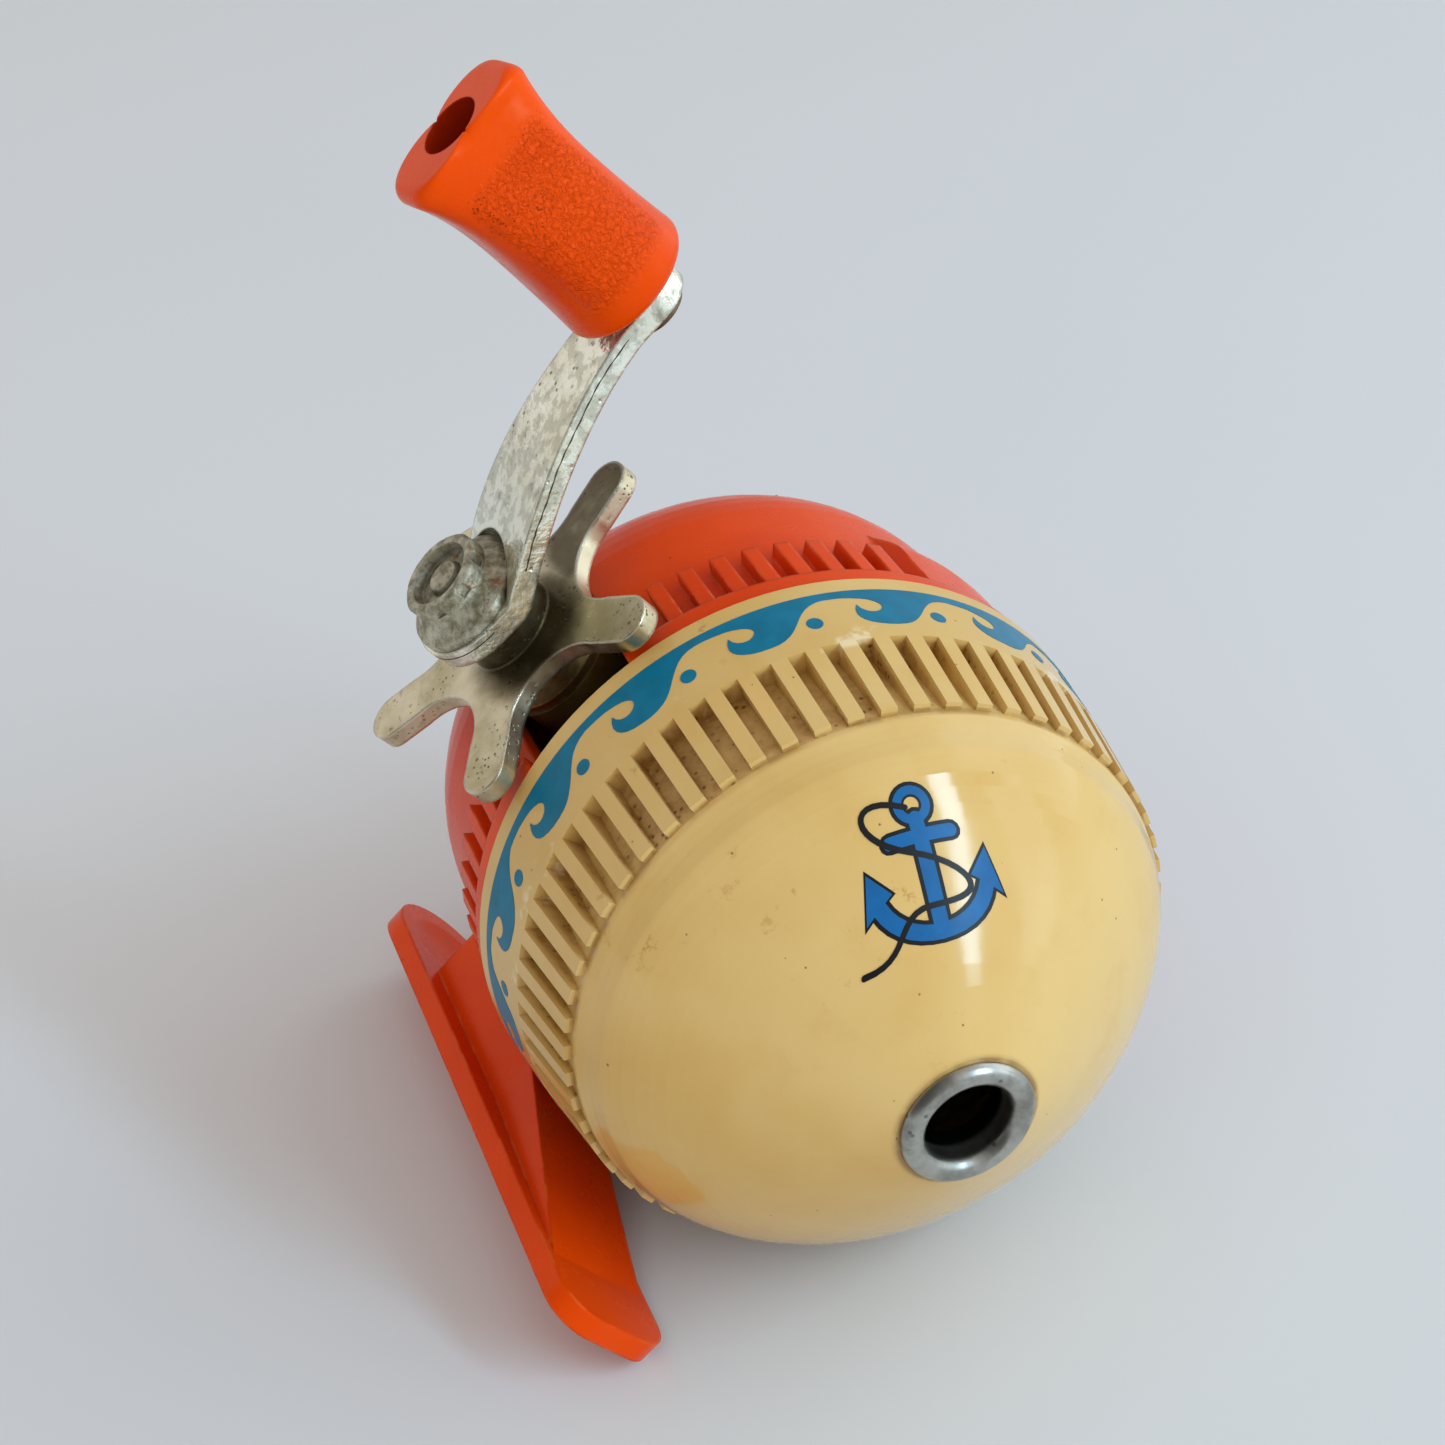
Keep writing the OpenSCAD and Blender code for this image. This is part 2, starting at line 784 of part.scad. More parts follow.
module drive_gear() {
    bar_half = 0.3;
    color([0.75, 0.6, 0.3])
        union() {
            crank_ring(gear_face_x, gear_face_x + gear_t, gear_rim_r, crank_r);
            for (i = [0 : gear_teeth - 1])
                on_crank(gear_tip_x)
                    rotate((i + 0.5) * 360 / gear_teeth)
                        translate([gear_r - tooth_len / 2, -bar_half, 0])
                            cube([tooth_len, 2 * bar_half, gear_face_x - gear_tip_x + eps]);
        }
}

module fibre_washer() {
    color([0.45, 0.3, 0.2]) crank_ring(fibre_x, fibre_x + washer_t, washer_r, crank_r);
}

module drag_plate() {
    color([0.7, 0.7, 0.72]) crank_ring(plate_x, plate_x + washer_t, washer_r, crank_r);
}

module ratchet_wheel() {
    root_r = ratchet_r - ratchet_depth;
    step = 360 / ratchet_teeth;
    color([0.68, 0.68, 0.7])
        on_crank(ratchet_x)
            difference() {
                linear_extrude(ratchet_t)
                    polygon([
                        for (i = [0 : ratchet_teeth - 1], k = [0, 1])
                            let (a = 90 + i * step + k * step * 0.98, r = k == 0 ? root_r : ratchet_r)
                                [r * cos(a), r * sin(a)]
                    ]);
                translate([0, 0, -1]) cylinder(h = ratchet_t + 2, r = crank_r);
            }
}

module pawl() {
    color([0.66, 0.66, 0.68])
        on_crank(ratchet_x + 0.1)
            difference() {
                linear_extrude(pawl_t)
                    union() {
                        translate([pawl_pivot_y, pawl_pivot_z]) circle(r = pawl_eye_r);
                        polygon([
                            [pawl_pivot_y - 0.4, pawl_pivot_z + pawl_eye_r - 0.1],
                            [pawl_pivot_y - 0.4, pawl_pivot_z - 1.2],
                            [-1.4, ratchet_r + 0.45], [0, ratchet_r + slide_gap + 0.1],
                            [-0.2, ratchet_r + 1.5]
                        ]);
                    }
                translate([pawl_pivot_y, pawl_pivot_z, -pawl_t])
                    cylinder(h = 3 * pawl_t, r = pivot_r + run_gap);
            }
}

module pawl_pivot() {
    color([0.62, 0.62, 0.64])
        on_crank(ratchet_x - 0.4)
            translate([pawl_pivot_y, pawl_pivot_z, 0])
                cylinder(h = boss_x + pawl_post_t - ratchet_x, r = pivot_r);
}

module crank_bushing() {
    color([0.72, 0.58, 0.32])
        union() {
            crank_ring(boss_x + 0.2, bush_out_x, bush_r, sleeve_out_r + run_gap);
            crank_ring(boss_out_x, bush_out_x, bush_r + 1.2, sleeve_out_r + run_gap);
        }
}

module drag_sleeve() {
    color([0.62, 0.62, 0.64]) crank_ring(ratchet_out_x, sleeve_x, sleeve_out_r, crank_r);
}

module spring_washer() {
    color([0.55, 0.55, 0.57])
        on_crank(sleeve_x)
            rotate_extrude()
                polygon([
                    [crank_r, 0], [crank_r + 0.6, 0], [washer_r, spring_washer_t - 0.5],
                    [washer_r, spring_washer_t], [washer_r - 0.6, spring_washer_t], [crank_r, 0.5]
                ]);
}

module star_outline() {
    step = 360 / star_arms;
    hollow_at = (star_hollow_r + star_arm_r - 0.08) / sin(step / 2);
    difference() {
        union() {
            circle(r = hollow_at * cos(step / 2));
            for (i = [0 : star_arms - 1])
                rotate(step / 2 + i * step) {
                    translate([0, -star_arm_r]) square([star_r - star_arm_r, 2 * star_arm_r]);
                    translate([star_r - star_arm_r, 0]) circle(r = star_arm_r);
                }
        }
        for (i = [0 : star_arms - 1])
            rotate(i * step) translate([hollow_at, 0]) circle(r = star_hollow_r);
    }
}

module star_wheel() {
    color([0.7, 0.68, 0.6])
        difference() {
            union() {
                on_crank(star_x) linear_extrude(star_t) star_outline();
                on_crank(star_out_x) cylinder(h = star_hub_h, r = star_hub_r);
            }
            on_crank(star_x - 1) cylinder(h = star_t + star_hub_h + 2, r = crank_r + run_gap);
        }
}

// A point of the arm's outer face, as [x, height over the crank's axis], at part t of its bend
function arm_point(t) =
    curve([arm_out_x, arm_low], [arm_out_x + arm_rise * 0.34, arm_level * 0.26],
          [arm_out_x + arm_rise * 0.88, arm_level * 0.575], [tip_out_x, arm_level], t);

// The way from the outer face straight through the arm
function arm_inward(t) =
    let (d = arm_point(t + 0.01) - arm_point(t - 0.01)) [-d[1], d[0]] / norm(d);

module crank_arm() {
    steps = 16;
    parts = [for (i = [0 : steps]) i / steps];
    outline = concat(
        [[arm_x, -arm_hub_r - 1], [arm_out_x, -arm_hub_r - 1]],
        [for (t = parts) arm_point(t)],
        [[tip_out_x, arm_len + arm_tip_r + 1], [tip_in_x, arm_len + arm_tip_r + 1]],
        [for (t = parts) arm_point(1 - t) + arm_t * arm_inward(1 - t)],
        [[arm_x, arm_low]]
    );
    color([0.7, 0.68, 0.6])
        difference() {
            union() {
                on_crank(arm_x) cylinder(h = arm_t, r = arm_hub_r);
                intersection() {
                    translate([0, -crank_back + arm_hub_r + 1, 0])
                        rotate([90, 0, 0])
                            linear_extrude(2 * arm_hub_r + 2) polygon(outline);
                    on_crank(0) linear_extrude(3 * rim_r) arm_blank();
                }
            }
            on_crank(0) cylinder(h = 3 * rim_r, r = crank_r + lip_gap / 2);
            on_crank(arm_out_x) cylinder(h = 3 * rim_r, r = nut_seat_r);
            on_crank(0) translate([0, arm_len, 0]) cylinder(h = 3 * rim_r, r = rivet_r);
        }
}

// The arm's outline: two round ends and the sides between them
module arm_blank() {
    side = [for (i = [0 : 12])
        [curve(arm_hub_r, arm_hub_r + 1, arm_tip_r - 0.2, arm_tip_r, i / 12), arm_len * i / 12]];
    circle(r = arm_hub_r);
    translate([0, arm_len]) circle(r = arm_tip_r);
    polygon(concat(side, [for (i = [12 : -1 : 0]) [-side[i][0], side[i][1]]]));
}

module cap_nut() {
    lobes = 8;
    rim_h = 1.3;
    slope_h = nut_len - 1.6;
    color([0.5, 0.5, 0.48])
        on_crank(nut_x)
            difference() {
                rotate_extrude()
                    polygon([
                        [0, crank_end_x - nut_x + 0.1], [crank_r, crank_end_x - nut_x + 0.1], [crank_r, 0],
                        [nut_r, 0], [nut_r, 0.6], [nut_r - 0.1, 0.9], [nut_r - 0.4, 1.1],
                        [nut_cap_r + 0.4, slope_h - 0.4], [nut_cap_r, slope_h],
                        [nut_cap_r, nut_len - 0.3], [nut_cap_r - 0.3, nut_len], [nut_cap_r - 1, nut_len],
                        [nut_cap_r - 1.2, nut_len - 1.1], [1.8, nut_len - 1.1], [1.5, nut_len - 0.5],
                        [0, nut_len - 0.4]
                    ]);
                for (i = [0 : lobes - 1])
                    rotate((i + 0.3) * 360 / lobes)
                        translate([nut_cap_r + 0.35, 0, nut_len - rim_h]) cylinder(h = 2, r = 0.7);
            }
}

// ---- Knob ----

module on_knob(x = 0) {
    translate([x, -crank_back, arm_len])
        rotate([90, 0, 90])
            children();
}

module knob() {
    edge = 0.8;
    steps = 14;
    function waist(t) = knob_waist_r
        + (knob_in_r - knob_waist_r) * pow(max(0, 0.45 - t) / 0.45, 1.6)
        + (knob_out_r - knob_waist_r) * pow(max(0, t - 0.45) / 0.55, 1.8);
    color([0.92, 0.3, 0.04])
        difference() {
            intersection() {
                on_knob(knob_x)
                    rotate_extrude()
                        polygon(concat(
                            [[0, 0], [knob_in_r - edge, 0], [knob_in_r - edge * 0.3, edge * 0.3]],
                            [for (i = [1 : steps]) [waist(i / steps), edge + (knob_len - edge) * i / steps]],
                            [[0, knob_len]]
                        ));
                on_knob(knob_x) rotate(knob_turn) knob_side();
            }
            on_knob(knob_x - 1) cylinder(h = knob_len + 2, r = knob_bore_r);
            on_knob(rivet_head_x - slide_gap) cylinder(h = knob_len, r = knob_hole_r);
        }
}

// The knob's thin side: from the round inner end to the rounded edge of the outer end
module knob_side() {
    edge_r = 2.2;
    half = knob_tip_t / 2;
    rotate([90, 0, 0])
        linear_extrude(4 * knob_out_r, center = true)
            union() {
                polygon([
                    [-knob_in_r - 1, -1], [knob_in_r + 1, -1], [knob_in_r + 1, knob_len * 0.3],
                    for (i = [0 : 8])
                        let (t = i / 8)
                            [curve(knob_in_r, knob_in_r - 0.6, half + 0.5, half, t),
                             knob_len * curve(0.3, 0.5, 0.7, 1, t) - edge_r * t],
                    [half - edge_r, knob_len - edge_r], [-half + edge_r, knob_len - edge_r],
                    for (i = [8 : -1 : 0])
                        let (t = i / 8)
                            [-curve(knob_in_r, knob_in_r - 0.6, half + 0.5, half, t),
                             knob_len * curve(0.3, 0.5, 0.7, 1, t) - edge_r * t],
                    [-knob_in_r - 1, knob_len * 0.3]
                ]);
                for (side = [-1, 1])
                    translate([side * (half - edge_r), knob_len - edge_r]) circle(r = edge_r);
                translate([-half + edge_r, knob_len - 2 * edge_r])
                    square([2 * half - 2 * edge_r, 2 * edge_r]);
            }
}

module knob_rivet() {
    color([0.5, 0.42, 0.36])
        union() {
            on_knob(tip_in_x - rivet_flat) cylinder(h = rivet_flat, r = rivet_r + 1);
            on_knob(tip_in_x - rivet_flat)
                cylinder(h = rivet_head_x + 1 - tip_in_x + rivet_flat, r = rivet_r);
            on_knob(tip_out_x) cylinder(h = collar_t, r = rivet_r + 1.4);
            on_knob(rivet_head_x) cylinder(h = 1.4, r = rivet_head_r);
        }
}

lay_down() front_cover();
lay_down() line_guide();
lay_down() rear_housing();
lay_down() thumb_button();
lay_down() deck_plate();
lay_down() deck_screws();
lay_down() spool();
lay_down() line_winding();
lay_down() spool_clip();
lay_down() spinner_head();
lay_down() pickup_pin();
lay_down() pin_spring();
lay_down() centre_shaft();
lay_down() shaft_clip();
lay_down() spring_collar();
lay_down() return_spring();
lay_down() pinion_gear();
lay_down() crank_shaft();
lay_down() drive_gear();
lay_down() fibre_washer();
lay_down() drag_plate();
lay_down() ratchet_wheel();
lay_down() pawl();
lay_down() pawl_pivot();
lay_down() crank_bushing();
lay_down() drag_sleeve();
lay_down() spring_washer();
lay_down() star_wheel();
lay_down() crank_arm();
lay_down() cap_nut();
lay_down() knob();
lay_down() knob_rivet();
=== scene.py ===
import math

import bmesh
import bpy
from mathutils import Matrix, Quaternion, Vector
from mathutils.geometry import tessellate_polygon


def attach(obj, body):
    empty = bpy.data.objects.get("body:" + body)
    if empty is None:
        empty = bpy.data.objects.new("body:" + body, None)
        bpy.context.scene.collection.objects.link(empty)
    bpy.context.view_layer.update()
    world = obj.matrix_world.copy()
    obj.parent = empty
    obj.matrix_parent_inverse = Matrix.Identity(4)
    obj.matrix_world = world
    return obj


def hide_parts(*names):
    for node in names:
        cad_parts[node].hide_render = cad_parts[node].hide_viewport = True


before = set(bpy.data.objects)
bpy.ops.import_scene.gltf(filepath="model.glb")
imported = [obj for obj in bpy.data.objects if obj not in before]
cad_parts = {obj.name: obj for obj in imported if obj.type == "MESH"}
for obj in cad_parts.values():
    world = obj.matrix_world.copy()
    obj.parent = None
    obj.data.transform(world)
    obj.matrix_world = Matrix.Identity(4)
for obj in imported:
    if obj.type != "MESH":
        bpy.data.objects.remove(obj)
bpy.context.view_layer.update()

# ---- The reel's own axes, as in the CAD source, in millimetres ----

RIM_R = 31.0
BAND_LEN = 8.8
BAND_TAPER = 0.9
RIB_END_Y = 17.8
MOUTH_Y = 38.1
NOSE_Y = 37.0
CRANK_BACK = 13.8
ARM_LEN = 30.3
DOME_R = 28.0
DOME_LEN = 19.2
NOSE_R = 6.5
KNOB_X = 47.7
KNOB_LEN = 21.4
KNOB_TURN = math.radians(13.0)
ARM_OUT_X = 38.5
ARM_RISE = 8.2
ARM_HUB_R = 6.2
ARM_TIP_R = 3.5
ARM_LOW = 2.6
GUIDE_R = 3.9
GUIDE_FLANGE_R = 6.1
GUIDE_BACK = 3.2
STAR_OUT_X = 33.1
FOOT_W = 12.9
FOOT_DROP = 39.2
FOOT_REACH = math.hypot(FOOT_W / 2, FOOT_DROP)
LIE = math.acos(RIM_R / FOOT_REACH) + math.atan(FOOT_W / 2 / FOOT_DROP)
COS, SIN = math.cos(LIE), math.sin(LIE)


def turn(x, y, z):
    """A direction from the reel's axes to the row frame."""
    return Vector((-x * COS + z * SIN, -y, x * SIN + z * COS))


def place(x, y, z):
    """A point from the reel's axes, in mm, to the row frame, in metres."""
    return turn(x, y - MOUTH_Y, z) * 0.001


# ---- Camera, from a fit of the reel's outline in the photograph ----

FOCAL_PX = 2453.17
IMAGE_PX = 1445.0
SENSOR_MM = 36.0
CAM_TURN = Vector((-0.1013, 1.9058, -1.2389))
CAM_MOVE = Vector((7.0627, 13.9801, 231.2374))


def add_camera():
    data = bpy.data.cameras.new("photo_camera")
    cam = bpy.data.objects.new("photo_camera", data)
    bpy.context.scene.collection.objects.link(cam)
    data.sensor_fit = "HORIZONTAL"
    data.sensor_width = SENSOR_MM
    data.lens = FOCAL_PX / IMAGE_PX * SENSOR_MM
    data.clip_start = 0.01
    data.clip_end = 20.0
    rot = Quaternion(CAM_TURN.normalized(), CAM_TURN.length).to_matrix()
    centre = -(rot.transposed() @ CAM_MOVE)
    right, down, ahead = (turn(*rot[i]) for i in range(3))
    world = Matrix((right, -down, -ahead)).transposed().to_4x4()
    world.translation = place(*centre)
    cam.matrix_world = world
    bpy.context.scene.camera = cam


add_camera()

# ---- Node helpers ----


def srgb(r, g, b):
    """A colour given as it shows on a screen, 0 to 255."""
    def one(v):
        v /= 255.0
        return v / 12.92 if v <= 0.04045 else ((v + 0.055) / 1.055) ** 2.4
    return (one(r), one(g), one(b), 1.0)


class Mat:
    """A material with short calls for its nodes."""

    def __init__(self, name):
        self.mat = bpy.data.materials.new(name)
        self.mat.use_nodes = True
        self.tree = self.mat.node_tree
        self.tree.nodes.clear()
        self.out = self.tree.nodes.new("ShaderNodeOutputMaterial")
        self.bsdf = self.tree.nodes.new("ShaderNodeBsdfPrincipled")
        self.link(self.bsdf.outputs[0], self.out.inputs["Surface"])
        self.coords = None

    def link(self, a, b):
        self.tree.links.new(a, b)

    def feed(self, socket, value):
        if isinstance(value, bpy.types.NodeSocket):
            self.link(value, socket)
        elif value is not None:
            socket.default_value = value

    def pos(self):
        """Row-frame position in metres, fixed to the piece."""
        if self.coords is None:
            self.coords = self.tree.nodes.new("ShaderNodeTexCoord").outputs["Object"]
        return self.coords

    def math(self, op, a, b=None, clamp=False):
        n = self.tree.nodes.new("ShaderNodeMath")
        n.operation = op
        n.use_clamp = clamp
        self.feed(n.inputs[0], a)
        self.feed(n.inputs[1], b)
        return n.outputs[0]

    def vec(self, op, a, b):
        n = self.tree.nodes.new("ShaderNodeVectorMath")
        n.operation = op
        self.feed(n.inputs[0], a)
        self.feed(n.inputs[1], b)
        return n.outputs["Value" if op == "DOT_PRODUCT" else "Vector"]

    def along(self, direction, origin=(0, 0, 0)):
        """Millimetres along a row-frame direction, from a row-frame point."""
        moved = self.vec("SUBTRACT", self.pos(), tuple(origin))
        return self.math("MULTIPLY", self.vec("DOT_PRODUCT", moved, tuple(direction)), 1000.0)

    def combine(self, x, y, z):
        n = self.tree.nodes.new("ShaderNodeCombineXYZ")
        for i, v in enumerate((x, y, z)):
            self.feed(n.inputs[i], v)
        return n.outputs[0]

    def noise(self, scale, detail=4.0, rough=0.5, distort=0.0, seed=0.0):
        """Noise with features about 1/scale of a metre; seed moves it elsewhere."""
        n = self.tree.nodes.new("ShaderNodeTexNoise")
        v = self.pos()
        if seed:
            v = self.vec("ADD", v, (seed, seed * 0.7, -seed))
        self.feed(n.inputs["Vector"], v)
        n.inputs["Scale"].default_value = scale
        n.inputs["Detail"].default_value = detail
        n.inputs["Roughness"].default_value = rough
        n.inputs["Distortion"].default_value = distort
        return n.outputs[0]

    def voronoi(self, scale, feature="F1", vector=None, output="Distance"):
        n = self.tree.nodes.new("ShaderNodeTexVoronoi")
        n.feature = feature
        self.feed(n.inputs["Vector"], vector if vector is not None else self.pos())
        n.inputs["Scale"].default_value = scale
        return n.outputs[output]

    def ramp(self, value, lo, hi, a=0.0, b=1.0, smooth=True):
        """a below lo, b above hi."""
        n = self.tree.nodes.new("ShaderNodeMapRange")
        n.interpolation_type = "SMOOTHSTEP" if smooth else "LINEAR"
        n.clamp = True
        self.feed(n.inputs["Value"], value)
        for name, v in (("From Min", lo), ("From Max", hi), ("To Min", a), ("To Max", b)):
            self.feed(n.inputs[name], v)
        return n.outputs["Result"]

    def mix(self, fac, a, b):
        """Colour a, turning into b as fac goes from 0 to 1."""
        n = self.tree.nodes.new("ShaderNodeMix")
        n.data_type = "RGBA"
        self.feed(n.inputs[0], fac)
        self.feed(n.inputs[6], a)
        self.feed(n.inputs[7], b)
        return n.outputs[2]

    def add(self, a, b, clamp=False):
        return self.math("ADD", a, b, clamp)

    def sub(self, a, b):
        return self.math("SUBTRACT", a, b)

    def most(self, a, b):
        return self.math("MAXIMUM", a, b)

    def far(self, a, b):
        """The length of the vector with sides a and b."""
        return self.math("SQRT", self.add(self.mul(a, a), self.mul(b, b)))

    def mul(self, *values):
        out = values[0]
        for v in values[1:]:
            out = self.math("MULTIPLY", out, v)
        return out

    def bump(self, height, distance, strength=1.0, normal=None):
        """Height of 1 stands distance metres proud."""
        n = self.tree.nodes.new("ShaderNodeBump")
        n.inputs["Strength"].default_value = strength
        n.inputs["Distance"].default_value = distance
        self.feed(n.inputs["Height"], height)
        if normal is not None:
            self.link(normal, n.inputs["Normal"])
        return n.outputs[0]

    def edge(self, radius):
        """1 at sharp edges and 0 on flats, from a bevelled normal."""
        b = self.tree.nodes.new("ShaderNodeBevel")
        b.samples = 4
        b.inputs["Radius"].default_value = radius
        g = self.tree.nodes.new("ShaderNodeNewGeometry")
        d = self.vec("DOT_PRODUCT", b.outputs[0], g.outputs["Normal"])
        return self.math("SUBTRACT", 1.0, d, clamp=True)

    def bevelled(self, radius):
        b = self.tree.nodes.new("ShaderNodeBevel")
        b.samples = 6
        b.inputs["Radius"].default_value = radius
        return b.outputs[0]

    def cavity(self, distance):
        """0 deep in crevices and 1 in the open."""
        n = self.tree.nodes.new("ShaderNodeAmbientOcclusion")
        n.samples = 6
        n.inputs["Distance"].default_value = distance
        return n.outputs["AO"]

    def finish(self, color=None, rough=None, metal=None, normal=None, **sockets):
        s = self.bsdf.inputs
        self.feed(s["Base Color"], color)
        self.feed(s["Roughness"], rough)
        self.feed(s["Metallic"], metal)
        if normal is not None:
            self.link(normal, s["Normal"])
        for k, v in sockets.items():
            self.feed(s[k.replace("_", " ")], v)
        return self.mat


def dress(node, material):
    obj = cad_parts[node]
    obj.data.materials.clear()
    obj.data.materials.append(material)
    return obj


SHARP_FROM = math.radians(32.0)


def smooth(obj):
    """Smooth shading that keeps the real edges sharp."""
    mod = obj.modifiers.new("shade", "NODES")
    group = bpy.data.node_groups.get("shade_by_angle")
    if group is None:
        group = bpy.data.node_groups.new("shade_by_angle", "GeometryNodeTree")
        group.interface.new_socket("Geometry", in_out="INPUT", socket_type="NodeSocketGeometry")
        group.interface.new_socket("Geometry", in_out="OUTPUT", socket_type="NodeSocketGeometry")
        start = group.nodes.new("NodeGroupInput")
        end = group.nodes.new("NodeGroupOutput")
        angle = group.nodes.new("GeometryNodeInputMeshEdgeAngle")
        less = group.nodes.new("FunctionNodeCompare")
        less.operation = "LESS_EQUAL"
        less.inputs[1].default_value = SHARP_FROM
        face = group.nodes.new("GeometryNodeSetShadeSmooth")
        face.domain = "FACE"
        edge = group.nodes.new("GeometryNodeSetShadeSmooth")
        edge.domain = "EDGE"
        group.links.new(start.outputs[0], face.inputs["Geometry"])
        group.links.new(face.outputs[0], edge.inputs["Geometry"])
        group.links.new(angle.outputs["Unsigned Angle"], less.inputs[0])
        group.links.new(less.outputs[0], edge.inputs["Shade Smooth"])
        group.links.new(edge.outputs[0], end.inputs[0])
    mod.node_group = group


# ---- Measures that the materials share ----

AXIS_ROW = turn(0, 1, 0)
R_ROW = turn(1, 0, 0)
U_ROW = turn(0, 0, 1)


def reel_terms(m):
    """Millimetres along the reel's axis from the cover's rim, radius from it, and x and z."""
    y = m.along(AXIS_ROW, place(0, 0, 0))
    x = m.along(R_ROW)
    z = m.along(U_ROW)
    return y, m.far(x, z), x, z


def specks(m, scale, size, density, seed=0.0):
    """Scattered small spots: 1 inside a spot."""
    v = m.vec("ADD", m.pos(), (seed, -seed, seed * 0.5)) if seed else m.pos()
    dist = m.voronoi(scale, vector=v)
    pick = m.voronoi(scale, vector=v, output="Color")
    lone = m.math("LESS_THAN", m.vec("DOT_PRODUCT", pick, (1.0, 0.0, 0.0)), density)
    return m.mul(m.ramp(dist, size, size * 0.4), lone)


def scratches(m, scale, width, density, stretch, direction_a, direction_b, seed=0.0):
    """Thin straight marks that run along direction_a."""
    a = m.along(direction_a)
    b = m.along(direction_b)
    wob = m.noise(scale * 30.0, 2.0, seed=seed + 3.1)
    v = m.combine(m.mul(a, 0.001 / stretch),
                  m.add(m.mul(b, 0.001), m.mul(wob, 0.0004)), seed)
    return m.mul(m.math("LESS_THAN", m.voronoi(scale, vector=v), width),
                 m.ramp(m.noise(scale * 0.35, 2.0, seed=seed), 1.0 - density, 1.0 - density + 0.05))


# ---- Materials ----

# Where the cover is dirty or worn. In mm: Y is along the axis from the cover's rim, and R from the axis.
# A pair is where a mark starts and where it is full, and four values are such pairs for its two sides.
GROOVE_R = 28.7
LIP_R = 28.3
NOSE_DIRT_Y = 30.0
NOSE_DIRT_R = (6.9, 6.2)
WEAR_Y = (6.4, 8.2, 9.8, 9.2)
MOAT_Y = (18.3, 19.6, 21.8, 20.0)
# Where the deck plate's boss is darkened as painted shade, in mm from the axis towards the crank
BOSS_SHADE_X = (12.0, 16.0)
# The knob's leathery panel, its soiled part and its hole, in mm along it, across it and from its axis
PANEL_K = (2.2, 4.2, 18.6, 16.8)
PANEL_ACROSS = (5.0, 4.2)
SOIL_K = (8.0, 13.0, 18.8, 17.4)
SOIL_ACROSS = (5.4, 4.4)
HOLE_SHADE_R = (2.95, 2.7)
HOLE_SHADE_K = 11.0
# The star's painted shade and painted dark reflection of the crank arm, in mm: its middle lies ahead of the
# shaft and above the reel's axis plane, REACH is the distance from that middle, and TALL and BEHIND are
# heights and places on the arm behind the shaft
STAR_SHADE_AHEAD = 2.6
STAR_SHADE_UP = 1.2
STAR_SHADE_REACH = (9.8, 6.2)
STAR_SHADE_TALL = (6.0, 9.0)
STAR_SHADE_BEHIND = (4.0, 1.0)
# How far under the star's outer face the painted shade starts and is full
STAR_FACE = (0.35, 0.1)
# Width of one turn of line on the spool
LINE_PITCH = 0.35

ORANGE_SHEEN = {
    "Specular_IOR_Level": 0.18, "Specular_Tint": (1.0, 0.6, 0.35, 1.0), "Subsurface_Weight": 0.02,
    "Subsurface_Radius": (0.004, 0.0012, 0.0005), "Subsurface_Scale": 0.5,
}


